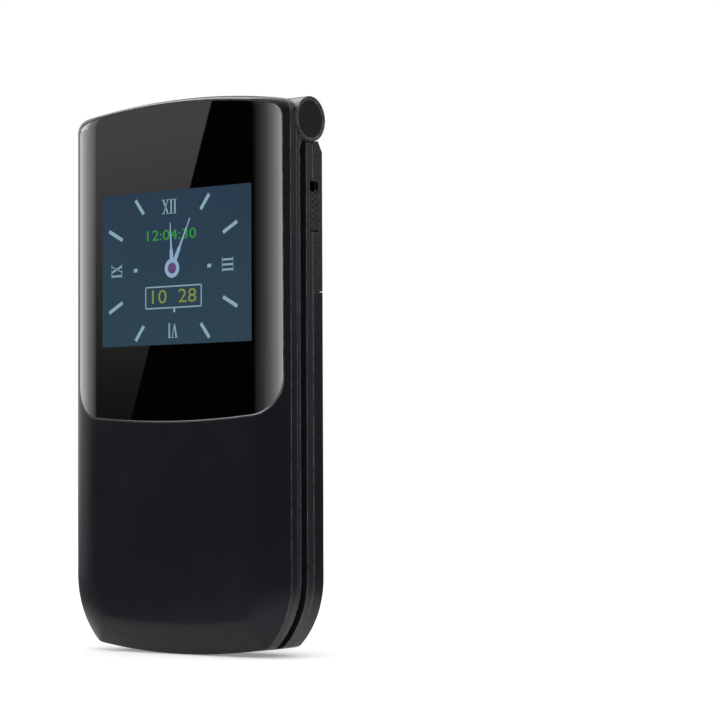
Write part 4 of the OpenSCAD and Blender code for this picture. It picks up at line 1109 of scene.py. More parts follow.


# Light edge colour of the black shells and frames: partly wear, partly a painted highlight for the light
# their edges catch.
BLACK_WEAR_AND_HIGHLIGHT = (0.22, 0.225, 0.235)
KEY_RUB = (0.05, 0.052, 0.056)
FLASH_PALE = (0.75, 0.72, 0.5)
DISPLAY_INK = Plastic("display_ink", (0.1, 0.1, 0.1), roughness=0.5, specular=0.1, grain_depth=0.0, fleck=0.1)
KEY_INK = Plastic("key_ink", (0.1, 0.1, 0.1), roughness=0.45, grain_depth=0.001, fleck=0.1)
FINISHES = {
    # The satin shell, grained housing and frames lighten strongly at their edges: partly wear, partly a
    # painted highlight.
    "satin_shell": Plastic(
        "satin_black", (0.0062, 0.0072, 0.0102), rubbed=BLACK_WEAR_AND_HIGHLIGHT, rubbing=0.9, roughness=0.25,
        specular=0.25, grains_per_mm=14, grain_depth=0.0006, fleck=0.05,
    ),
    # Light flecks of the grained housing: partly its speckled tone, partly a painted sparkle of its grain.
    "grained_shell": Plastic(
        "grained_charcoal", (0.0055, 0.0062, 0.0075), rubbed=(0.17, 0.175, 0.19), rubbing=0.75,
        grains_per_mm=3.4, grain_depth=0.035, fleck=0.26, fleck_and_sparkle_colour=(0.115, 0.122, 0.136),
    ),
    "frame_plastic": Plastic(
        "frame_black", (0.0085, 0.0092, 0.0105), rubbed=BLACK_WEAR_AND_HIGHLIGHT, rubbing=0.9, roughness=0.32,
        specular=0.32, grains_per_mm=3.6, grain_depth=0.015, fleck_and_sparkle_colour=(0.04, 0.043, 0.048),
    ),
    "gloss_window": Plastic(
        "gloss_black", (0.0008, 0.0008, 0.0009), rubbed=(0.02, 0.02, 0.022), rubbing=0.4, roughness=0.008,
        specular=0.5, grains_per_mm=2, grain_depth=0.0, fleck=0.0, smudges=0.004,
    ),
    "clear_window": ClearPane("clear_pane"),
    "clock_face": Display(
        "clock_blue", (0.021, 0.046, 0.066), (0.017, 0.036, 0.062), 63.0, 94.4, glow=0.25, specular=0.06
    ),
    "main_screen": Display("screen_glow", (0.02, 0.16, 0.42), (0.01, 0.03, 0.16), 32.0, 84.0, glow=0.9),
    "key_plastic": Plastic(
        "key_satin", (0.011, 0.012, 0.0135), rubbed=KEY_RUB, roughness=0.3, specular=0.4,
        grains_per_mm=12, grain_depth=0.0008, fleck=0.05,
    ),
    "cap_inlay": Plastic(
        "inlay_black", (0.0035, 0.004, 0.0048), rubbed=KEY_RUB, roughness=0.45, specular=0.14,
        grains_per_mm=5, fleck=0.1,
    ),
    # Lighter than the housing that the slots are cut in: partly its own gloss, partly a painted highlight for
    # the light the slots' lower ends catch.
    "slot_sill_painted_highlight": Plastic(
        "sill_painted_highlight", (0.05, 0.052, 0.056), rubbed=(0.2, 0.2, 0.21), roughness=0.25, specular=0.6,
        grains_per_mm=5,
    ),
    "gold_trim": Metal("gold_plate", (0.62, 0.36, 0.13), (0.40, 0.21, 0.07), roughness=0.22),
    "gold_mesh": Metal(
        "gold_wire", (0.66, 0.46, 0.17), (0.36, 0.22, 0.07), roughness=0.3, stretch=(6.0, 1.0, 6.0),
        lines_per_mm=3.0,
    ),
    "dark_plastic": Plastic(
        "dark_insert", (0.013, 0.014, 0.016), roughness=0.5, grains_per_mm=7, grain_depth=0.003
    ),
    "lens_surround": Metal(
        "grey_turned", (0.3, 0.31, 0.33), (0.2, 0.207, 0.22), roughness=0.45, stretch=(1.0, 30.0, 1.0)
    ),
    "lens_glass": Plastic(
        "coated_lens", (0.0012, 0.001, 0.0035), rubbed=(0.01, 0.01, 0.02), roughness=0.02, specular=0.9,
        grain_depth=0.0, fleck=0.0, coat=1.0, smudges=0.005,
    ),
    "flash_lens": Plastic(
        "flash_diffuser", (0.55, 0.51, 0.24), rubbed=FLASH_PALE, roughness=0.18, specular=0.5,
        grains_per_mm=4, grain_depth=0.01, fleck=0.4, fleck_and_sparkle_colour=FLASH_PALE,
    ),
    "soft_rubber": Plastic(
        "soft_rubber", (0.01, 0.0105, 0.0115), roughness=0.58, specular=0.25, grains_per_mm=9,
        grain_depth=0.003,
    ),
    "circuit_board": Board("lacquered_board"),
    "plated_steel": Metal("plated_steel", (0.62, 0.62, 0.64), (0.42, 0.42, 0.44), roughness=0.3),
    "contact_gold": Metal("contact_gold", (0.78, 0.55, 0.2), (0.6, 0.4, 0.14)),
    "flex_film": Plastic("amber_film", (0.32, 0.13, 0.02), roughness=0.25, specular=0.5, grain_depth=0.001),
    "battery_sleeve": Plastic(
        "battery_sleeve", (0.16, 0.165, 0.18), rubbed=(0.5, 0.5, 0.52), roughness=0.35, specular=0.5,
        grains_per_mm=3, grain_depth=0.002, fleck=0.1, fleck_and_sparkle_colour=(0.3, 0.3, 0.32),
    ),
    "pale_mark": replace(
        DISPLAY_INK, name="pale_marks", colour=(0.20, 0.33, 0.39), fleck=0.15,
        fleck_and_sparkle_colour=(0.3, 0.42, 0.48), glow=(0.27, 0.43, 0.50), glow_strength=0.12,
    ),
    "hand_mark": replace(
        DISPLAY_INK, name="hand_marks", colour=(0.22, 0.34, 0.47), fleck=0.15,
        fleck_and_sparkle_colour=(0.35, 0.45, 0.6), glow=(0.22, 0.34, 0.47), glow_strength=0.15,
    ),
    "hub_mark": replace(
        DISPLAY_INK, name="hub_purple", colour=(0.10, 0.045, 0.16), roughness=0.4, fleck=0.3,
        fleck_and_sparkle_colour=(0.35, 0.25, 0.5),
    ),
    "green_mark": replace(
        DISPLAY_INK, name="green_figures", colour=(0.02, 0.25, 0.03), glow=(0.02, 0.25, 0.03),
        glow_strength=0.2,
    ),
    "lime_mark": replace(
        DISPLAY_INK, name="lime_figures", colour=(0.16, 0.21, 0.045), glow=(0.24, 0.32, 0.06),
        glow_strength=0.15,
    ),
    "key_mark": replace(
        KEY_INK, name="key_figures", colour=(0.62, 0.64, 0.66), fleck_and_sparkle_colour=(0.8, 0.8, 0.82)
    ),
    "call_mark": replace(KEY_INK, name="call_green", colour=(0.03, 0.42, 0.07)),
    "end_mark": replace(KEY_INK, name="end_red", colour=(0.55, 0.02, 0.02)),
    # Bright metal around the window: partly its own reflection, partly a painted highlight for the light on
    # the window's black edge.
    "window_edge_highlight": Metal("window_edge_highlight", (0.55, 0.56, 0.58), (0.4, 0.41, 0.43), roughness=0.16),
}
# Record slots of the finishes that have none of their own name.
MARK_SLOTS = {
    **dict.fromkeys(("pale_mark", "hand_mark", "hub_mark", "green_mark", "lime_mark"), "clock_face"),
    **dict.fromkeys(("key_mark", "call_mark", "end_mark"), "key_plastic"),
    "window_edge_highlight": "plated_steel",
    "slot_sill_painted_highlight": "grained_shell",
    "cap_inlay": "frame_plastic",
}


class Paint:
    """Gives finishes to pieces and to the solids that stay."""

    def __init__(self) -> None:
        """Starts with no material made."""
        self.made: dict[str, bpy.types.Material] = {}

    def material(self, finish: str) -> bpy.types.Material:
        """Finds a finish's material, and makes it the first time."""
        if finish not in self.made:
            self.made[finish] = FINISHES[finish].build()
        return self.made[finish]

    def place(self, piece: Piece, finish: str, body: str, *nodes: str, slot: str = "") -> Piece:
        """Dresses a finished piece, sets the body that it rides on and hides the solids that it stands for.

        Args:
            piece: Finished piece.
            finish: Name of its finish.
            body: Body that it rides on.
            *nodes: Solids that it stands for.
            slot: Not used.

        Returns:
            The dressed piece.
        """
        piece.data.materials.clear()
        piece.data.materials.append(self.material(finish))
        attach(piece, body)
        if nodes:
            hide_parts(*nodes)
        LOG.info("piece %s: %d faces, rides on %s", piece.name, len(piece.data.polygons), body)
        return piece

    def dress_nodes(self) -> None:
        """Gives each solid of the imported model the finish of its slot."""
        for part in frame["record"]["subparts"]:
            for slot in frame["nodes"][part["node"]].material_slots:
                slot.material = self.material(part["material_slot"])


PAINT = Paint()


# ---- lid ----


@dataclass(frozen=True)
class LidFront:
    """Front of the lid: satin cover, glossy window and the pane over the clock."""

    wall: float = 1.0
    window_t: float = 0.8
    window_half: float = 27.1
    window_top: float = 1.2
    window_corner: float = 7.0
    window_low_r: float = 220.0
    window_low_z: float = extent("lid_window")[0].z
    fit_gap: float = 0.05
    floor_gap: float = 0.02
    seam_room: float = 0.5
    clock_room: float = 0.5
    clock_hole_d: float = 3.0
    clock_w: float = span_of("outer_display").x
    clock_h: float = span_of("outer_display").z
    clock_x: float = middle("outer_display").x
    clock_z: float = middle("outer_display").z
    hinge_y: float = middle("hinge_caps").y
    hinge_z: float = middle("hinge_caps").z
    barrel_r: float = 4.55
    barrel_reach: float = 120.0
    cover_round: float = 0.2
    window_round: float = 0.07
    sharp_angle: float = 32.0
    edge_angle: float = 30.0
    edge_w: float = 0.17
    edge_fall: float = 0.13
    edge_rise: float = 9.5
    edge_least: float = 0.1
    edge_blend: float = 2.0
    edge_gap: float = 0.01
    edge_foot_t: float = 0.2
    edge_lip_t: float = 0.3

    def window_plan(self, grow: float) -> list[Point]:
        """Outline of the window, grown by a gap.

        Args:
            grow: Distance by which the outline grows.

        Returns:
            The points of the outline.
        """
        half, corner = self.window_half + grow, self.window_corner
        centre, radius = (0.0, self.window_low_z + self.window_low_r), self.window_low_r + grow
        x = half - corner
        z = centre[1] - math.sqrt((radius - corner) ** 2 - x**2)
        turn = OUTLINE.angle(centre, (x, z))
        right = (
            OUTLINE.arc(centre, radius, -90, turn, 18)
            + OUTLINE.arc((x, z), corner, turn, 0, 12, 1)
            + OUTLINE.lid_top_half(OUTLINE.half_w - half, self.window_top - grow)
        )
        return OUTLINE.mirrored(right)

    def low_edge_plan(self, grow: float, extra: float) -> list[Point]:
        """Outline of the window, grown further along its low edge and corners alone.

        Args:
            grow: Distance by which the whole outline grows.
            extra: Further distance by which its low part grows.

        Returns:
            The points of the outline.
        """
        plan = []
        for near, far in zip(self.window_plan(grow), self.window_plan(grow + extra)):
            below = (self.window_low_z + self.edge_rise - near[1]) / self.edge_blend
            share = min(1.0, max(self.edge_least, below))
            plan.append((near[0] + share * (far[0] - near[0]), near[1] + share * (far[1] - near[1])))
        return plan

    def clock_opening(self, name: str, grow: float) -> Piece:
        """Block through the clock's place, grown on each side."""
        half_w, half_h = self.clock_w / 2 + grow, self.clock_h / 2 + grow
        return Bench.box(
            name,
            (self.clock_x - half_w, FORM.front_y - PAST, self.clock_z - half_h),
            (self.clock_x + half_w, FORM.front_y + self.clock_hole_d, self.clock_z + half_h),
        )

    def build_cover(self) -> Piece:
        """Shell of the lid with the recess for the window.

        Returns:
            The finished shell.
        """
        cover = Bench.loft("lid_cover_shell", FORM.lid(0, FORM.lid_seam_y))
        hollow = Bench.loft("lid_hollow", FORM.lid(self.wall, FORM.lid_seam_y + PAST))
        Bench.cut(cover, hollow)
        plan = self.low_edge_plan(self.fit_gap, self.edge_w)
        recess = Bench.prism("window_recess", plan, FORM.front_y - PAST, FORM.lid_seam_y - self.seam_room)
        floor = Bench.loft("window_floor", FORM.lid(self.window_t + self.floor_gap, FORM.lid_seam_y))
        Bench.cut(recess, floor)
        Bench.cut(cover, recess)
        Bench.cut(cover, self.clock_opening("clock_hole", self.clock_room))
        hinge = (0, self.hinge_y, self.hinge_z)
        barrel = Bench.rod("barrel_room", hinge, self.barrel_r, self.barrel_reach, ALONG_X, 96)
        Bench.cut(cover, barrel)
        Bench.soften(cover, self.cover_round, self.sharp_angle)
        return PAINT.place(cover, "satin_shell", "lid", "lid_cover")

    def build_window(self) -> Piece:
        """Glossy window that follows the lid's curve, open over the clock.

        Returns:
            The finished window.
        """
        window = Bench.loft("lid_window_pane", FORM.lid(0, FORM.lid_seam_y))
        plan = self.window_plan(0)
        edge = Bench.prism("window_edge", plan, FORM.front_y - PAST, FORM.lid_seam_y - self.seam_room)
        Bench.combine(window, edge, Cut.KEEP_COMMON)
        hollow = Bench.loft("window_hollow", FORM.lid(self.window_t, FORM.lid_seam_y + PAST))
        Bench.cut(window, hollow)
        Bench.cut(window, self.clock_opening("clock_view", 0.0))
        Bench.soften(window, self.window_round, self.sharp_angle)
        return PAINT.place(window, "gloss_window", "lid", "lid_window")

    def surface_y(self, x: float) -> float:
        """Depth of the lid's curved face at a distance from its middle.

        Args:
            x: Distance across.

        Returns:
            The depth of the face there.
        """
        radius = (FORM.curve_w**2 + FORM.curve_d**2) / (2 * FORM.curve_d)
        over = max(0.0, abs(x) - (OUTLINE.half_w - FORM.curve_w))
        return FORM.front_y + radius - math.sqrt(radius**2 - over**2)

    def build_edge(self) -> Piece:
        """Polished metal bevel around the window's edge: partly its own reflection, partly a painted
        highlight in its bright colour, which stands in for the light the window's black edge catches.

        Returns:
            The finished bevel.
        """
        inner, outer = self.window_plan(self.edge_gap), self.low_edge_plan(self.edge_gap, self.edge_w)
        lip = [(x, self.surface_y(x), z) for x, z in inner]
        foot = [(x, self.surface_y(x) + self.edge_fall, z) for x, z in outer]
        under_foot = [(x, y + self.edge_foot_t, z) for x, y, z in foot]
        under_lip = [(x, y + self.edge_lip_t, z) for x, y, z in lip]
        edge = Bench.hoop("window_bevel", [lip, foot, under_foot, under_lip])
        Bench.smooth(edge, self.edge_angle)
        return PAINT.place(edge, "window_edge_highlight", "lid")


@dataclass(frozen=True)
class ClockFace:
    """Analogue clock on the lid's display, with a date box."""

    x: float = middle("outer_display").x - 0.84
    z: float = middle("outer_display").z - 0.2
    face_y: float = -8.862
    mark_y: float = -8.87
    root_y: float = -8.812
    width: float = span_of("outer_display").x - 0.06
    height: float = span_of("outer_display").z - 0.06
    middle_x: float = middle("outer_display").x
    middle_z: float = middle("outer_display").z
    face_t: float = 0.6
    face_corner: float = 0.25
    numeral_h: float = 2.8
    serif: float = 0.16
    serif_half: float = 0.4
    thick: float = 0.4
    thin: float = 0.2
    half_v: float = 0.55
    half_x: float = 0.6
    numerals: tuple[tuple[str, tuple[tuple[str, float], ...], Point, float], ...] = (
        ("twelve", (("X", -1.2), ("I", 0.3), ("I", 1.3)), (-0.5, 12.5), 0.0),
        ("three", (("I", -1.0), ("I", 0.0), ("I", 1.0)), (14.7, 0.0), 90.0),
        ("six", (("V", -0.6), ("I", 0.75)), (0.0, -12.6), 180.0),
        ("nine", (("I", -0.9), ("X", 0.5)), (-15.1, 0.0), -90.0),
    )
    hour_strokes: tuple[tuple[Point, Point], ...] = (((9.9, 14.35), (7.65, 11.4)), ((17.2, 8.4), (13.5, 6.4)))
    hour_w: float = 0.75
    dot_from: float = 9.4
    dot_to: float = 10.4
    date_rise: float = -5.8
    date_x: float = 0.33
    date_frame: Point = (14.9, 4.3)
    date_line: float = 0.28
    seconds_x: float = 0.6
    seconds_from: float = -8.0
    seconds_to: float = -8.9
    seconds_w: float = 0.5
    hands: tuple[tuple[Point, float], ...] = (((-0.5, 9.2), 1.3), ((4.8, 9.9), 1.15))
    hand_waist: float = 0.42
    hand_waist_w: float = 0.75
    hand_blade_w: float = 0.5
    hand_tip_w: float = 0.22
    hand_rise: float = 0.002
    ring_rise: float = 0.001
    ring_r: float = 1.95
    ring_hole_r: float = 1.12
    hub_r: float = 1.14
    hub_rise: float = 0.0025
    time_place: Point = (-0.4, 6.7)
    time_h: float = 3.0
    time_w: float = 13.2
    date_shift: float = 0.2
    date_h: float = 3.95
    date_w: float = 11.9
    figure_t: float = 0.012
    figure_sink: float = 0.005

    def plate(self, name: str, plan: Sequence[Point]) -> Piece:
        """Thin plate that lies on the display's face."""
        return Bench.prism(name, plan, self.mark_y, self.root_y)

    def letter_strokes(self, letter: str, u: float) -> list[list[Point]]:
        """Strokes of one upright numeral letter.

        Args:
            letter: I, V or X.
            u: Middle of the letter across.

        Returns:
            The outlines of its strokes.
        """
        h, strokes = self.numeral_h / 2, []
        if letter == "I":
            strokes.append(stroke((u, -h), (u, h), self.thick))
            feet = [(u, h), (u, -h)]
        elif letter == "V":
            w = self.half_v
            strokes.append(stroke((u - w, h), (u, -h), self.thick))
            strokes.append(stroke((u + w, h), (u, -h), self.thin))
            feet = [(u - w, h), (u + w, h)]
        else:
            w = self.half_x
            strokes.append(stroke((u - w, h), (u + w, -h), self.thick))
            strokes.append(stroke((u + w, h), (u - w, -h), self.thin))
            feet = [(u - w, h), (u + w, h), (u - w, -h), (u + w, -h)]
        half = self.serif_half
        return strokes + [stroke((x - half, z), (x + half, z), self.serif) for x, z in feet]

    def numeral(
        self, name: str, letters: Sequence[tuple[str, float]], centre: Point, turn: float
    ) -> list[Piece]:
        """One numeral, turned to stand on the dial.

        Args:
            name: Name of the pieces.
            letters: Letters with their middles across.
            centre: Middle of the numeral.
            turn: Turn in degrees, clockwise as seen from the front.

        Returns:
            The plates of the numeral.
        """
        cos, sin = math.cos(math.radians(-turn)), math.sin(math.radians(-turn))
        plates = []
        for letter, u in letters:
            for plan in self.letter_strokes(letter, u):
                turned = [(centre[0] + a * cos - b * sin, centre[1] + a * sin + b * cos) for a, b in plan]
                plates.append(self.plate(name, turned))
        return plates

    def frame_plates(self, name: str, x: float, z: float, w: float, h: float, line: float) -> list[Piece]:
        """Four plates that make a thin rectangular frame.

        Args:
            name: Name of the pieces.
            x: Middle across.
            z: Middle in height.
            w: Outer width.
            h: Outer height.
            line: Width of the line.

        Returns:
            The plates of the frame.
        """
        left, right, low, high = x - w / 2, x + w / 2, z - h / 2, z + h / 2
        edges = [
            ((left, high), (right, high)),
            ((left, low), (right, low)),
            ((left, low), (left, high)),
            ((right, low), (right, high)),
        ]
        return [self.plate(name, stroke(a, b, line)) for a, b in edges]

    def build_dial(self) -> Piece:
        """Blue face of the display.

        Returns:
            The finished face.
        """
        plan = round_plan(self.middle_x, self.middle_z, self.width, self.height, self.face_corner)
        face = Bench.prism("clock_face_pane", plan, self.face_y, self.face_y + self.face_t)
        return PAINT.place(face, "clock_face", "lid", "outer_display")

    def build_marks(self) -> Piece:
        """Hour strokes, numerals, minute dots and the frame of the date.

        Returns:
            The joined marks.
        """
        plates = []
        for sx in (-1, 1):
            for sz in (-1, 1):
                for a, b in self.hour_strokes:
                    start = (self.x + sx * a[0], self.z + sz * a[1])
                    end = (self.x + sx * b[0], self.z + sz * b[1])
                    plates.append(self.plate("hour_stroke", stroke(start, end, self.hour_w)))
            start, end = (self.x + sx * self.dot_from, self.z), (self.x + sx * self.dot_to, self.z)
            plates.append(self.plate("minute_dot", stroke(start, end, self.hour_w)))
        for name, letters, place, turn in self.numerals:
            plates += self.numeral(name, letters, (self.x + place[0], self.z + place[1]), turn)
        x, z = self.x + self.date_x, self.z + self.date_rise
        plates += self.frame_plates("date_frame", x, z, *self.date_frame, self.date_line)
        x = self.x + self.seconds_x
        seconds = stroke((x, self.z + self.seconds_from), (x, self.z + self.seconds_to), self.seconds_w)
        plates.append(self.plate("seconds_stroke", seconds))
        return PAINT.place(Bench.join("clock_marks", plates), "pale_mark", "lid")

    def build_hands(self) -> Piece:
        """Both hands and the ring around the hub.

        Returns:
            The joined hands.
        """
        y, hub = self.mark_y - self.hand_rise, (self.x, self.z)
        plates = []
        for tip, root_w in self.hands:
            far = (self.x + tip[0], self.z + tip[1])
            waist = (self.x + tip[0] * self.hand_waist, self.z + tip[1] * self.hand_waist)
            inner = stroke(hub, waist, root_w, self.hand_waist_w)
            outer = stroke(waist, far, self.hand_blade_w, self.hand_tip_w)
            plates += [Bench.prism("hand", plan, y, self.root_y) for plan in (inner, outer)]
        ring = Outline.arc(hub, self.ring_r, 0, 350, 35)
        disc = Bench.prism("hub_ring", ring, y - self.ring_rise, self.root_y)
        hole = Bench.rod("hub_hole", (self.x, self.face_y, self.z), self.ring_hole_r, 2, ALONG_Y, 36)
        plates.append(Bench.cut(disc, hole))
        return PAINT.place(Bench.join("clock_hands", plates), "hand_mark", "lid")

    def build_hub(self) -> Piece:
        """Purple middle of the hub.

        Returns:
            The finished disc.
        """
        plan = Outline.arc((self.x, self.z), self.hub_r, 0, 350, 35)
        hub = Bench.prism("clock_hub", plan, self.mark_y - self.hub_rise, self.root_y)
        return PAINT.place(hub, "hub_mark", "lid")

    def build_figures(self) -> None:
        """Time and date in plain figures."""
        y = self.mark_y + self.figure_sink
        spot = (self.x + self.time_place[0], y, self.z + self.time_place[1])
        time = Bench.words("clock_time", "12:04:30", self.time_h, spot, Facing.FRONT, self.figure_t)
        PAINT.place(Bench.fit_width(time, self.time_w), "green_mark", "lid")
        spot = (self.x + self.date_shift, y, self.z + self.date_rise)
        date = Bench.words("clock_date", "10  28", self.date_h, spot, Facing.FRONT, self.figure_t)
        PAINT.place(Bench.fit_width(date, self.date_w), "lime_mark", "lid")

    def build(self) -> None:
        """Builds the whole clock."""
        self.build_dial()
        self.build_marks()
        self.build_hands()
        self.build_hub()
        self.build_figures()


@dataclass(frozen=True)
class InnerScreen:
    """Main display inside the lid: mask, status marks and a plain home screen."""

    screen_y: float = -3.505
    middle_z: float = middle("inner_display").z
    view_w: float = 37.0
    view_h: float = 49.4
    view_corner: float = 0.4
    border_w: float = 2.4
    border_h: float = 4.4
    border_corner: float = 0.5
    lift: float = 0.002
    mask_t: float = 0.03
    sign_t: float = 0.02
    time_h: float = 8.0
    time_drop: float = 16.0
    time_t: float = 0.016
    time_sink: float = 0.01
    bars: int = 4
    bar_x: float = -16.5
    bar_pitch: float = 0.95
    bar_foot: float = 3.2
    bar_w: float = 0.6
    bar_h: float = 0.7
    bar_step: float = 0.5
    battery_x: float = 15.0
    battery_size: Point = (3.4, 1.7)
    battery_tip_x: float = 17.0
    battery_tip_size: Point = (0.5, 0.8)
    battery_drop: float = 2.2
    tiles: int = 4
    tile_x: float = -12.9
    tile_pitch: float = 8.6
    tile_w: float = 6.2
    tile_corner: float = 1.3
    tile_rise: float = 7.0

    def build_mask(self) -> Piece:
        """Black border printed behind the clear window.

        Returns:
            The finished border.
        """
        w, h = self.view_w + self.border_w, self.view_h + self.border_h
        rim = round_plan(0, self.middle_z, w, h, self.border_corner)
        mask = Bench.prism("screen_mask", rim, self.screen_y + self.lift, self.screen_y + self.mask_t)
        view = round_plan(0, self.middle_z, self.view_w, self.view_h, self.view_corner)
        hole = Bench.prism("screen_view", view, self.screen_y - PAST, self.screen_y + PAST)
        Bench.cut(mask, hole)
        return PAINT.place(mask, "gloss_window", "lid", slot="clear_window")

    def build_signs(self) -> Piece:
        """Time, signal bars, battery sign and four plain tiles.

        Returns:
            The joined signs.
        """
        top = self.middle_z - self.view_h / 2
        spot = (0, self.screen_y + self.time_sink, top + self.time_drop)
        parts = [Bench.words("screen_time", "12:04", self.time_h, spot, Facing.INSIDE_LID, self.time_t)]
        plans = []
        for i in range(self.bars):
            x, tall = self.bar_x + i * self.bar_pitch, self.bar_h + self.bar_step * i
            plan = round_plan(x, top + self.bar_foot - tall / 2, self.bar_w, tall, 0.1, 2)
            plans.append(("signal_bar", plan))
        z = top + self.battery_drop
        plans.append(("battery_sign", round_plan(self.battery_x, z, *self.battery_size, 0.25, 3)))
        plans.append(("battery_tip", round_plan(self.battery_tip_x, z, *self.battery_tip_size, 0.1, 2)))
        z = top + self.view_h - self.tile_rise
        for i in range(self.tiles):
            x = self.tile_x + i * self.tile_pitch
            plans.append(("screen_tile", round_plan(x, z, self.tile_w, self.tile_w, self.tile_corner)))
        y0, y1 = self.screen_y + self.lift, self.screen_y + self.sign_t
        parts += [Bench.prism(name, plan, y0, y1) for name, plan in plans]
        return PAINT.place(Bench.join("screen_signs", parts), "key_mark", "lid", slot="main_screen")

    def build(self) -> None:
        """Builds the screen's mask and signs."""
        self.build_mask()
        self.build_signs()


# ---- shells and hinge ----


@dataclass(frozen=True)
class Shells:
    """Battery cover, rear housing, frames and the hinge's end caps."""

    cover_wall: float = 1.0
    cover_round: float = 0.22
    cover_angle: float = 27.0
    cover_lap: float = 0.1
    base_seam_y: float = 0.475
    cover_top_z: float = extent("battery_cover")[1].z
    cap_disc_r: float = 3.85
    cap_disc_d: float = 0.2
    inlay_room: float = 0.15
    inlay_t: float = 0.08
    liner_r: float = 4.86
    liner_t: float = 0.33
    liner_top: float = -4.3
    liner_gap: float = 0.15
    cap_round: float = 0.12
    sharp_angle: float = 30.0

    def build_battery_cover(self) -> Piece:
        """Battery cover with plane chamfers and a curved heel.

        Returns:
            The finished cover.
        """
        outer = FORM.base(0, self.base_seam_y + self.cover_lap, self.cover_top_z)
        cover = Bench.loft("battery_cover_shell", outer)
        inner = FORM.base(self.cover_wall, self.base_seam_y - PAST, self.cover_top_z + PAST)
        Bench.cut(cover, Bench.loft("cover_hollow", inner))
        Bench.soften(cover, self.cover_round, self.cover_angle, 3)
        return PAINT.place(cover, "satin_shell", "battery_cover", "battery_cover")

    def build_copies(self) -> None:
        """Frames and housing with rounded edges."""
        for node, finish, body, width in (
            ("rear_housing", "grained_shell", "base", 0.16),
            ("base_front_frame", "frame_plastic", "base", 0.2),
            ("lid_inner_frame", "frame_plastic", "lid", 0.2),
            ("screw_caps", "frame_plastic", "base", 0.12),
        ):
            piece = Bench.copy_node(node, node + "_finished")
            Bench.soften(piece, width, self.sharp_angle)
            PAINT.place(piece, finish, body, node)

    def build_caps(self) -> Piece:
        """End caps of the hinge, each with a shallow round recess.

        Returns:
            The finished caps.
        """
        caps = Bench.copy_node("hinge_caps", "hinge_caps_finished")
        reach, place = extent("hinge_caps")[1].x, middle("hinge_caps")
        for side in (-1, 1):
            spot = (side * reach, place.y, place.z)
            disc = Bench.rod("cap_recess", spot, self.cap_disc_r, 2 * self.cap_disc_d, ALONG_X, 72)
            Bench.cut(caps, disc)
        Bench.soften(caps, self.cap_round, self.sharp_angle)
        return PAINT.place(caps, "frame_plastic", "lid", "hinge_caps")

    def build_inlays(self) -> Piece:
        """Dark disc in the recess of each end cap.

        Returns:
            The joined discs.
        """
        reach, place = extent("hinge_caps")[1].x - self.cap_disc_d, middle("hinge_caps")
        radius, discs = self.cap_disc_r - self.inlay_room, []
        for side in (-1, 1):
            spot = (side * reach, place.y, place.z)
            discs.append(Bench.rod("cap_inlays", spot, radius, self.inlay_t, ALONG_X, 72))
        inlays = Bench.join("cap_inlays", discs)
        Bench.smooth(inlays, self.sharp_angle)
        return PAINT.place(inlays, "cap_inlay", "lid")

    def build_liner(self) -> Piece:
        """Thin dark liner of the base's trough, just clear of the barrel.

        Returns:
            The finished liner.
        """
        place, reach = middle("hinge_caps"), OUTLINE.half_w - self.liner_gap
        liner = Bench.rod("hinge_liner", place, self.liner_r, 2 * reach, ALONG_X, 96)
        room = Bench.rod("liner_room", place, self.liner_r - self.liner_t, 3 * reach, ALONG_X, 96)
        Bench.cut(liner, room)
        top, side = place.z + self.liner_top, 2 * self.liner_r
        upper = Bench.box("liner_limit", (-2 * reach, -2 * side, top), (2 * reach, 2 * side, top + 2 * side))
        Bench.cut(liner, upper)
        Bench.smooth(liner, self.sharp_angle)
        return PAINT.place(liner, "soft_rubber", "base")

    def build(self) -> None:
        """Builds the shells."""
        self.build_battery_cover()
        self.build_copies()
        self.build_caps()
        self.build_inlays()
        self.build_liner()


# ---- keypad ----


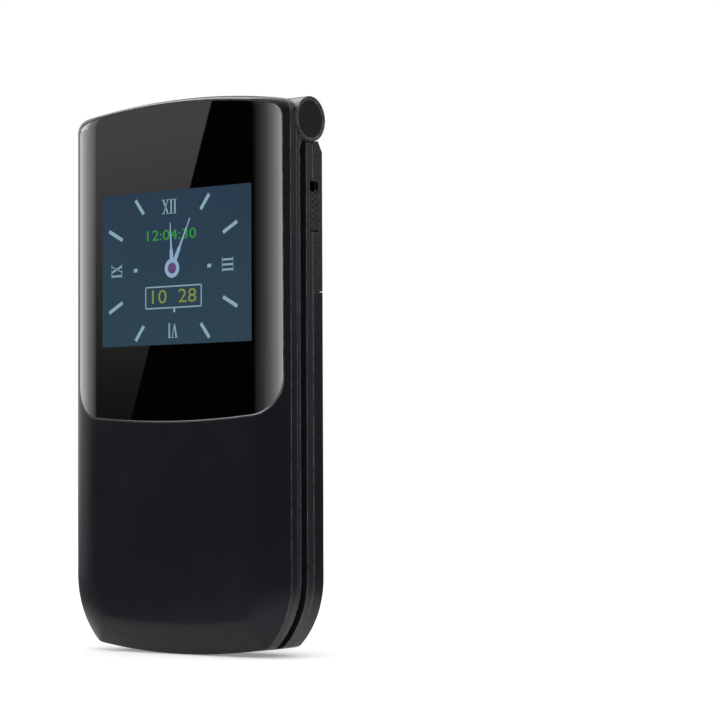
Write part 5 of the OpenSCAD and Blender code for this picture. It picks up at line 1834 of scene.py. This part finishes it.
@dataclass(frozen=True)
class Keypad:
    """Key caps with rounded edges and plain legends."""

    face_y: float = -2.375
    mark_t: float = 0.02
    legends: str = "123456789*0#"
    keys: tuple[str, ...] = tuple(f"key_{i}" for i in range(1, 10)) + ("key_star", "key_0", "key_hash")
    others: tuple[str, ...] = (
        "key_soft_left", "key_soft_right", "key_call", "key_end", "nav_ring", "key_ok",
    )
    cap_round: float = 0.18
    cap_angle: float = 40.0
    figure_h: float = 6.2
    nav_z: float = middle("nav_ring").z
    side_x: float = 17.0
    soft_z: float = middle("key_soft_left").z + 2.8
    soft_size: Point = (4.6, 0.9)
    mark_corner: float = 0.4
    call_z: float = middle("key_call").z - 0.4
    handset_r: float = 3.2
    handset_w: float = 1.0
    handset_drop: float = 1.6
    handset_from: float = 25.0
    handset_to: float = 155.0
    handset_end: Point = (2.55, 1.1)
    handset_end_size: Point = (1.5, 1.9)
    handset_end_lift: float = 0.004
    arrow_out: float = 8.9
    arrow_tip: float = 0.75
    arrow_back: float = 0.45
    arrow_half: float = 1.1
    ok_h: float = 3.6

    def build_caps(self) -> None:
        """Rounds the edges of every key."""
        for key in self.keys + self.others:
            cap = Bench.copy_node(key, key + "_cap")
            Bench.soften(cap, self.cap_round, self.cap_angle, 3)
            PAINT.place(cap, "key_plastic", key, key)

    def build_figures(self) -> None:
        """Figures on the twelve number keys."""
        for key, figure in zip(self.keys, self.legends):
            place = (middle(key).x, self.face_y - self.mark_t / 2, middle(key).z)
            mark = Bench.words("figure_" + key, figure, self.figure_h, place, Facing.FRONT, self.mark_t)
            PAINT.place(mark, "key_mark", key)

    def handset(self, name: str, x: float, flip: int) -> Piece:
        """Sign of a handset, drawn as an arc with two ends.

        Args:
            name: Name of the piece.
            x: Middle across.
            flip: 1 for a lifted handset and -1 for one that is put down.

        Returns:
            The sign.
        """
        y0, y1 = self.face_y - self.mark_t, self.face_y
        z = self.call_z - flip * self.handset_drop
        low, high = self.handset_from, self.handset_to
        outer = Outline.arc((x, z), self.handset_r, low, high, 18)
        inner = Outline.arc((x, z), self.handset_r - self.handset_w, high, low, 18)
        parts = [Bench.prism(name, [(a, z + flip * (b - z)) for a, b in outer + inner], y0, y1)]
        for sx in (-1, 1):
            spot = (x + sx * self.handset_end[0], z + flip * self.handset_end[1])
            end = round_plan(*spot, *self.handset_end_size, self.mark_corner, 4)
            parts.append(Bench.prism(name, end, y0 - self.handset_end_lift, y1))
        return Bench.join(name, parts)

    def arrow_plan(self, turn: float) -> list[Point]:
        """Outline of one arrow on the navigation ring.

        Args:
            turn: Direction of the arrow in radians.

        Returns:
            The tip and both rear corners.
        """
        out, side = Vector((math.cos(turn), math.sin(turn))), Vector((-math.sin(turn), math.cos(turn)))
        middle = Vector((0.0, self.nav_z)) + out * self.arrow_out
        rear, half = middle - out * self.arrow_back, side * self.arrow_half
        return [tuple(middle + out * self.arrow_tip), tuple(rear + half), tuple(rear - half)]

    def build_signs(self) -> None:
        """Signs on the keys around the navigation ring."""
        y0, y1 = self.face_y - self.mark_t, self.face_y
        PAINT.place(self.handset("sign_call", -self.side_x, 1), "call_mark", "key_call")
        PAINT.place(self.handset("sign_end", self.side_x, -1), "end_mark", "key_end")
        for sx, key in ((-1, "key_soft_left"), (1, "key_soft_right")):
            plan = round_plan(sx * self.side_x, self.soft_z, *self.soft_size, self.mark_corner, 4)
            PAINT.place(Bench.prism("sign_" + key, plan, y0, y1), "key_mark", key)
        arrows = [Bench.prism("arrow", self.arrow_plan(math.pi / 2 * i), y0, y1) for i in range(4)]
        PAINT.place(Bench.join("sign_nav_ring", arrows), "key_mark", "nav_ring")
        spot = (0, self.face_y - self.mark_t / 2, self.nav_z)
        ok = Bench.words("sign_key_ok", "OK", self.ok_h, spot, Facing.FRONT, self.mark_t)
        PAINT.place(ok, "key_mark", "key_ok")

    def build(self) -> None:
        """Builds the keypad."""
        self.build_caps()
        self.build_figures()
        self.build_signs()


# ---- rear details ----


@dataclass(frozen=True)
class SpeakerWeave:
    """Gold wire mesh behind the slots, woven on the diagonal."""

    x: float = middle("speaker_mesh").x
    z: float = middle("speaker_mesh").z
    y: float = middle("speaker_mesh").y - 0.01
    width: float = span_of("speaker_mesh").x
    height: float = span_of("speaker_mesh").z
    pitch: float = 0.6
    sill_y: float = 8.8
    sill_h: float = 1.5
    sill_d: float = 0.85
    frame_w: float = 1.0
    sill_foot: float = 0.4
    sill_lip: float = 0.1
    wire: float = 0.25
    wire_t: float = 0.045
    flat_share: float = 0.6
    lift: float = 0.055

    def wavy_wire(self, name: str, length: float, phase: int) -> Piece:
        """One wire that passes over and under the wires across it.

        Args:
            name: Name of the piece.
            length: Length of the wire.
            phase: 0 or 1, the side on which it starts.

        Returns:
            The wire along X about the origin.
        """
        count = int(length / self.pitch)
        half, flat, t = self.wire / 2, self.wire / 2 * self.flat_share, self.wire_t
        section = ((-t, -flat), (0.0, -half), (t, -flat), (t, flat), (0.0, half), (-t, flat))
        rings = []
        for i in range(count + 1):
            x = (i - count / 2) * self.pitch
            y = self.lift * (1 if (i + phase) % 2 else -1)
            rings.append([(x, y + dy, z) for dy, z in section])
        return Bench.loft(name, rings)

    def layer(self, name: str, turn: float, shift: int) -> Piece:
        """All wires of one direction.

        Args:
            name: Name of the piece.
            turn: Direction in degrees.
            shift: 0 or 1, which of the two directions this is.

        Returns:
            The joined wires, placed.
        """
        span = math.hypot(self.width, self.height) + 2
        count = int(span / self.pitch)
        count -= count % 2
        pair = [self.wavy_wire(name, span, (shift + k) % 2) for k in (0, 1)]
        for k, wire in enumerate(pair):
            wire.data.transform(Matrix.Translation((0, 0, (k - count / 2) * self.pitch * MM)))
        joined = Bench.join(name, pair)
        repeat = joined.modifiers.new("repeat", "ARRAY")
        repeat.use_relative_offset = False
        repeat.use_constant_offset = True
        repeat.constant_offset_displace = (0, 0, 2 * self.pitch * MM)
        repeat.count = count // 2
        Bench.pick(joined)
        bpy.ops.object.modifier_apply(modifier=repeat.name)
        Bench.turn_about(joined, (0, 0, 0), (0, turn, 0))
        joined.data.transform(Matrix.Translation(Vector((self.x, self.y, self.z)) * MM))
        return joined

    def build_sill(self) -> Piece:
        """Slope at the slots' lower ends, hidden by the ribs between them; its colour, lighter than the
        housing's, is partly a painted highlight.

        Returns:
            The finished slope.
        """
        low = self.z - self.height / 2 + self.frame_w
        half = self.width / 2 - self.frame_w
        front, back = self.sill_y, self.sill_y - self.sill_d
        foot = low - self.sill_foot
        profile = ((front, foot), (front, low + self.sill_lip), (back, low + self.sill_h), (back, foot))
        rings = [[(self.x + side * half, y, z) for y, z in profile] for side in (-1, 1)]
        sill = Bench.loft("slot_sill_painted_highlight", rings)
        return PAINT.place(sill, "slot_sill_painted_highlight", "base")

    def build(self) -> Piece:
        """Weaves the mesh and trims it to its rectangle.

        Returns:
            The finished mesh.
        """
        weave = Bench.join("speaker_weave", [self.layer("warp", 45, 0), self.layer("weft", -45, 1)])
        Bench.mode("EDIT")
        for sx, sz in ((1, 0), (-1, 0), (0, 1), (0, -1)):
            bpy.ops.mesh.select_all(action="SELECT")
            reach = self.width / 2 if sx else self.height / 2
            place = Vector((self.x + sx * reach, self.y, self.z + sz * reach)) * MM
            bpy.ops.mesh.bisect(plane_co=place, plane_no=(sx, 0, sz), clear_outer=True)
        Bench.mode("OBJECT")
        Bench.pick(weave)
        bpy.ops.object.shade_smooth_by_angle(angle=math.radians(50))
        return PAINT.place(weave, "gold_mesh", "base", "speaker_mesh")


@dataclass(frozen=True)
class CameraUnit:
    """Camera window on the rear: ring, plate, stepped lens surround, lens and flash."""

    x: float = middle("camera_plate").x
    lens_z: float = middle("camera_lens").z
    flash_z: float = middle("flash_led").z
    face_y: float = 8.625
    lens_r: float = 1.5
    lens_front_y: float = 7.375
    lens_t: float = 0.6
    lens_sides: int = 48
    dome: float = 0.35
    dome_steps: int = 8
    dome_angle: float = 50.0
    collar_reach: float = 0.12
    collar_back: float = -0.12
    collar_step: float = 0.06
    collar_face_r: float = 1.2
    collar_slope_r: float = 1.15
    collar_lip_r: float = 0.8
    collar_hole_r: float = 0.74
    collar_angle: float = 30.0
    flash_w: float = 4.7
    flash_h: float = 6.1
    flash_t: float = 0.08
    flash_corner: float = 0.12
    flash_lines: tuple[Point, ...] = ((0.0, 0.2), (0.62, 0.16))
    sharp_angle: float = 35.0
    copies: tuple[tuple[str, str, float], ...] = (
        ("camera_ring", "gold_trim", 0.09),
        ("camera_plate", "gloss_window", 0.04),
        ("lens_cone", "lens_surround", 0.05),
        ("flash_led", "flash_lens", 0.06),
    )

    def ring(self, radius: float, y: float, sides: int) -> Ring:
        """Circle of points around the lens's axis at one depth."""
        return [(self.x + a, y, self.lens_z + b) for a, b in circle(radius, sides)]

    def build_lens(self) -> Piece:
        """Domed front glass, spun from its profile.

        Returns:
            The finished lens.
        """
        rings = [self.ring(self.lens_r, self.lens_front_y - self.lens_t, self.lens_sides)]
        for k in range(self.dome_steps):
            tilt = math.pi / 2 * k / self.dome_steps
            y = self.lens_front_y - self.dome + self.dome * math.sin(tilt)
            rings.append(self.ring(self.lens_r * math.cos(tilt), y, self.lens_sides))
        lens = Bench.loft("lens_dome", rings)
        Bench.smooth(lens, self.dome_angle)
        return PAINT.place(lens, "lens_glass", "base", "camera_lens")

    def build_collar(self) -> Piece:
        """Stepped ring that leaves only the lens's middle open.

        Returns:
            The finished ring.
        """
        outer, step, back = self.lens_r + self.collar_reach, self.collar_step, self.collar_back
        profile = (
            (outer, back),
            (outer, step),
            (self.collar_face_r, step),
            (self.collar_slope_r, 0.0),
            (self.collar_lip_r, 0.0),
            (self.collar_hole_r, -step),
            (self.collar_hole_r, back),
        )
        rings = [self.ring(r, self.lens_front_y + y, 64) for r, y in profile]
        collar = Bench.hoop("lens_collar", rings)
        Bench.smooth(collar, self.collar_angle)
        return PAINT.place(collar, "lens_surround", "base")

    def build_flash_frame(self) -> Piece:
        """Double gold line around the flash.

        Returns:
            The joined lines.
        """
        y, lines = self.face_y, []
        for shrink, line in self.flash_lines:
            w, h = self.flash_w - shrink, self.flash_h - shrink
            plan = round_plan(self.x, self.flash_z, w, h, self.flash_corner, 3)
            outer = Bench.prism("flash_line", plan, y, y + self.flash_t)
            plan = round_plan(self.x, self.flash_z, w - 2 * line, h - 2 * line, 0.08, 3)
            inner = Bench.prism("flash_hole", plan, y - PAST, y + PAST)
            lines.append(Bench.cut(outer, inner))
        return PAINT.place(Bench.join("flash_lines", lines), "gold_trim", "base", "flash_frame")

    def build_copies(self) -> None:
        """Ring, plate and lens surround with rounded edges."""
        for node, finish, width in self.copies:
            piece = Bench.copy_node(node, node + "_finished")
            Bench.soften(piece, width, self.sharp_angle)
            PAINT.place(piece, finish, "base", node)

    def build(self) -> None:
        """Builds the camera unit."""
        self.build_lens()
        self.build_collar()
        self.build_flash_frame()
        self.build_copies()


@dataclass(frozen=True)
class ChargeFlap:
    """Rubber flap over the charging port, with two rows of grip dots."""

    x: float = 28.6
    y: float = middle("charge_flap").y
    z: float = middle("charge_flap").z + 1.4
    pitch_y: float = 0.8
    pitch_z: float = 1.15
    flap_round: float = 0.15
    flap_angle: float = 35.0
    dot_r: float = 0.34
    dot_h: float = 0.2
    dot_sides: int = 14
    dot_angle: float = 60.0
    dot_profile: tuple[Point, ...] = ((1.0, -0.1), (1.0, 0.0), (0.85, 0.6), (0.5, 0.9), (0.15, 1.0))

    def grip_dot(self, y: float, z: float) -> Piece:
        """One domed dot on the flap's face.

        Args:
            y: Middle of the dot from front to rear.
            z: Middle of the dot in height.

        Returns:
            The shaded dot.
        """
        rings = []
        for share, rise in self.dot_profile:
            x, ring = self.x + self.dot_h * rise, circle(self.dot_r * share, self.dot_sides)
            rings.append([(x, y + a, z + b) for a, b in ring])
        return Bench.smooth(Bench.loft("grip_dot", rings), self.dot_angle)

    def build(self) -> Piece:
        """Makes the flap with its dots.

        Returns:
            The finished flap.
        """
        flap = Bench.copy_node("charge_flap", "charge_flap_finished")
        Bench.soften(flap, self.flap_round, self.flap_angle)
        dots = [flap]
        for row in (-0.5, 0.5):
            for k in range(-2, 3):
                z = self.z + (k + row / 2) * self.pitch_z
                dots.append(self.grip_dot(self.y + row * self.pitch_y, z))
        piece = Bench.join("charge_flap_finished", list(reversed(dots)))
        return PAINT.place(piece, "soft_rubber", "charge_flap", "charge_flap")


# ---- studio ----


class Along(Enum):
    """Direction in which a card's brightness changes."""

    X = ("X", "across")
    Z = ("Z", "upwards")
    TURN = ("X", "around")


@dataclass(frozen=True)
class Fade:
    """Range of X in metres over which a card goes to the room's brightness."""

    start: float
    end: float


@dataclass(frozen=True)
class Studio:
    """Plain white room with soft lamps, reflection cards and the camera. Lengths are in metres."""

    camera_place: Place = (0.342661, -0.394274, 0.036153)
    camera_turn: Place = (92.5264, 0.2629, 37.4703)
    lens: float = 128.02
    sensor_w: float = 36.0
    clip: Point = (0.01, 20.0)
    lamps: tuple[tuple[str, Place, float, float], ...] = (
        ("left_lamp", (-0.9, -0.1, 0.5), 0.5, 1.5),
        ("top_lamp", (0.1, -0.2, 1.2), 0.7, 2.4),
        ("right_lamp", (0.9, -0.5, 0.55), 0.5, 1.4),
        ("rear_lamp", (-0.3, 1.1, 0.7), 0.6, 1.9),
    )
    aim: Place = (0.0, 0.0, 0.055)
    world_fill: float = 0.84
    floor_size: float = 8.0
    floor_drop: float = 0.00005
    floor_glow: float = 0.25
    floor_dim: float = 0.85
    floor_dim_from: float = 0.03
    floor_dim_to: float = 0.09
    card_y: float = -0.4
    card_low: float = 0.0005
    card_top: float = 0.34
    seam_x: float = -0.3909
    seam_lean: float = 0.3448
    strip_r: float = 0.38
    strip_h: float = 0.5
    strip_end_y: float = 0.15
    strip_stops: tuple[Point, ...] = (
        (-112.0, 2.2), (-87.0, 2.2), (-75.6, 2.1), (-66.2, 1.75), (-57.7, 1.35), (-50.3, 0.95), (-44.9, 0.0),
        (-35.3, 0.0), (-30.5, 0.15), (-26.4, 0.3), (-21.4, 0.46), (-15.2, 0.74), (-9.2, 1.08), (-4.2, 1.7),
        (1.8, 2.4), (6.8, 3.4), (12.8, 4.7), (17.7, 6.45), (23.5, 8.5), (35.0, 12.0),
    )

    def build_world(self) -> None:
        """White surroundings, dimmer as a light than to the eye."""
        world = bpy.data.worlds.new("white_room")
        bpy.context.scene.world = world
        world.use_nodes = True
        wire = Wiring(world.node_tree)
        path = wire.add("ShaderNodeLightPath")
        seen = wire.math("MAXIMUM", path.outputs["Is Camera Ray"], path.outputs["Is Glossy Ray"])
        seen = wire.math("MAXIMUM", seen, path.outputs["Is Transmission Ray"])
        strength = wire.span(seen, 0.0, 1.0, self.world_fill)
        light = wire.add("ShaderNodeBackground", Color=WHITE, Strength=strength)
        wire.add("ShaderNodeOutputWorld", Surface=light.outputs[0])

    def build_floor(self) -> None:
        """White floor that keeps the phone's shadow."""
        Bench.clear()
        bpy.ops.mesh.primitive_plane_add(size=self.floor_size, location=(0, 0, -self.floor_drop))
        floor = Bench.rename(bpy.context.object, "white_floor")
        material, wire = new_material("white_floor")
        path = wire.add("ShaderNodeLightPath")
        seen = wire.math("MAXIMUM", path.outputs["Is Camera Ray"], path.outputs["Is Glossy Ray"])
        place = wire.place()
        tone = wire.add("ShaderNodeTexNoise", Vector=place, Scale=30.0, Detail=3.0).outputs[0]
        colour = wire.mix(tone, (0.90, 0.90, 0.90, 1.0), (0.88, 0.88, 0.885, 1.0))
        parts = wire.add("ShaderNodeSeparateXYZ", Vector=place)
        squares = [wire.math("POWER", wire.math("ABSOLUTE", parts.outputs[axis]), 2.0) for axis in ("X", "Y")]
        away = wire.math("SQRT", wire.math("ADD", squares[0], squares[1]))
        dim = wire.span(away, self.floor_dim_from, self.floor_dim_to, 0.0, self.floor_dim)
        dim = wire.math("MULTIPLY", path.outputs["Is Glossy Ray"], dim)
        colour = wire.mix(dim, colour, BLACK)
        glow = wire.math("MULTIPLY", seen, self.floor_glow)
        glow = wire.math("MULTIPLY", glow, wire.math("SUBTRACT", 1.0, dim))
        wire.surface(
            Base_Color=colour,
            Roughness=0.9,
            Specular_IOR_Level=0.0,
            Emission_Color=WHITE,
            Emission_Strength=glow,
        )
        floor.data.materials.append(material)

    def light_card(
        self, card: Piece, along: Along, stops: Sequence[Point], fade: Fade | None = None
    ) -> None:
        """Makes a card glow towards reflections alone, brighter or darker along it.

        Args:
            card: Card to light.
            along: Direction in which its brightness changes.
            stops: Places along it, in metres or degrees, with their brightness.
            fade: Range of X over which it goes to the room's brightness.
        """
        material, wire = new_material(card.name)
        parts = wire.add("ShaderNodeSeparateXYZ", Vector=wire.place())
        place = parts.outputs[along.value[0]]
        if along is Along.TURN:
            turn = wire.math("ARCTAN2", place, wire.math("MULTIPLY", parts.outputs["Y"], -1.0))
            place = wire.math("DEGREES", turn)
        strength = wire.math("ADD", stops[0][1], 0.0)
        for (a, va), (b, vb) in zip(stops, stops[1:]):
            strength = wire.math("ADD", strength, wire.span(place, a, b, 0.0, vb - va))
        if fade is not None:
            share = wire.span(parts.outputs["X"], fade.start, fade.end)
            rest = wire.math("MULTIPLY", share, wire.math("SUBTRACT", 1.0, strength))
            strength = wire.math("ADD", strength, rest)
        surface = wire.add("ShaderNodeEmission", Color=WHITE, Strength=strength).outputs[0]
        if along is Along.TURN:
            clear = wire.add("ShaderNodeBsdfTransparent").outputs[0]
            surface = wire.add("ShaderNodeAddShader", i0=surface, i1=clear).outputs[0]
        wire.add("ShaderNodeOutputMaterial", Surface=surface)
        card.data.materials.append(material)
        card.visible_camera = card.visible_diffuse = card.visible_shadow = False
        card.visible_transmission = card.visible_volume_scatter = False

    @staticmethod
    def flat_card(name: str, corners: Sequence[Place]) -> Piece:
        """Flat card between four corners.

        Args:
            name: Name of the card.
            corners: Its four corners in order.

        Returns:
            The card.
        """
        Bench.clear()
        bpy.ops.mesh.primitive_plane_add(size=1)
        card = Bench.rename(bpy.context.object, name)
        for vertex, corner in zip(card.data.vertices, (corners[0], corners[1], corners[3], corners[2])):
            vertex.co = corner
        return card

    def build_cards(self) -> None:
        """Dark and graded cards that shape the reflections in the gloss."""
        y, low, top = self.card_y, self.card_low, self.card_top
        seam_low, seam_top = self.seam_x + self.seam_lean * low, self.seam_x + self.seam_lean * top
        corners = ((seam_low, y, low), (0.5, y, low), (0.5, y, top), (seam_top, y, top))
        self.light_card(self.flat_card("front_card", corners), Along.X, ((-0.3, 0.0), (0.3, 0.05)))
        corners = ((-1.3, y, low), (seam_low, y, low), (seam_top, y, top), (-1.3, y, top))
        stops = ((0.05, 0.07), (0.078, 0.2), (0.106, 0.43), (0.132, 0.68), (0.175, 1.05), (0.3, 1.3))
        self.light_card(self.flat_card("left_card", corners), Along.Z, stops, Fade(-0.5, -1.3))
        corners = ((-0.75, 0.55, low), (0.2, 0.55, low), (0.2, 0.55, 0.5), (-0.75, 0.55, 0.5))
        self.light_card(self.flat_card("rear_card", corners), Along.X, ((-0.2, 0.0), (0.2, 0.5)))
        corners = ((0.6, 0.2, low), (0.25, 0.75, low), (0.25, 0.75, 0.4), (0.6, 0.2, 0.4))
        stops = ((0.03, 0.03), (0.09, 0.1), (0.15, 0.5), (0.4, 0.8))
        self.light_card(self.flat_card("right_card", corners), Along.Z, stops)
        corners = ((-0.9, -0.35, 0.8), (0.9, -0.35, 0.8), (0.9, 0.55, 0.8), (-0.9, 0.55, 0.8))
        self.light_card(self.flat_card("over_card", corners), Along.X, ((-0.45, 5.0), (0.45, 5.5)))

    def build_strip_card(self, window: Piece) -> None:
        """Clear curved card whose glow only the window reflects.

        Args:
            window: Window pane that sees the card.
        """
        Bench.clear()
        bpy.ops.mesh.primitive_cylinder_add(
            vertices=180,
            radius=self.strip_r,
            depth=self.strip_h,
            end_fill_type="NOTHING",
            location=(0, 0, self.strip_h / 2 + self.card_low),
        )
        card = Bench.rename(bpy.context.object, "strip_card")
        bpy.ops.object.transform_apply()
        Bench.mode("EDIT")
        bpy.ops.mesh.select_all(action="SELECT")
        cut = (0, self.strip_end_y, 0)
        bpy.ops.mesh.bisect(plane_co=cut, plane_no=(0, 1, 0), clear_outer=True)
        Bench.mode("OBJECT")
        self.light_card(card, Along.TURN, self.strip_stops)
        seen_by = bpy.data.collections.new("window_only")
        seen_by.objects.link(window)
        card.light_linking.receiver_collection = seen_by

    def build_lamps(self) -> None:
        """Soft square lamps around the phone that point at its middle."""
        for name, place, size, power in self.lamps:
            data = bpy.data.lights.new(name, "AREA")
            data.shape = "SQUARE"
            data.size = size
            data.energy = power
            lamp = bpy.data.objects.new(name, data)
            lamp.location = place
            lamp.rotation_euler = (Vector(place) - Vector(self.aim)).to_track_quat("Z", "Y").to_euler()
            bpy.context.scene.collection.objects.link(lamp)

    def build_camera(self) -> None:
        """Camera at the viewing place."""
        data = bpy.data.cameras.new("view_camera")
        data.sensor_width = self.sensor_w
        data.lens = self.lens
        data.clip_start, data.clip_end = self.clip
        camera = bpy.data.objects.new("view_camera", data)
        camera.location = self.camera_place
        camera.rotation_euler = [math.radians(a) for a in self.camera_turn]
        bpy.context.scene.collection.objects.link(camera)
        bpy.context.scene.camera = camera

    def build(self, window: Piece) -> None:
        """Builds the room, the lamps and the camera.

        Args:
            window: Window pane that sees the curved card.
        """
        bpy.context.scene.view_settings.view_transform = "Standard"
        self.build_world()
        self.build_floor()
        self.build_cards()
        self.build_strip_card(window)
        self.build_lamps()
        self.build_camera()


def main() -> None:
    """Builds every sub-assembly in order."""
    logging.basicConfig(level=logging.INFO, format="%(message)s")
    PAINT.dress_nodes()
    front = LidFront()
    front.build_cover()
    window = front.build_window()
    front.build_edge()
    ClockFace().build()
    InnerScreen().build()
    Shells().build()
    Keypad().build()
    weave = SpeakerWeave()
    weave.build()
    weave.build_sill()
    CameraUnit().build()
    ChargeFlap().build()
    Studio().build(window)


if __name__ == "__main__":
    main()
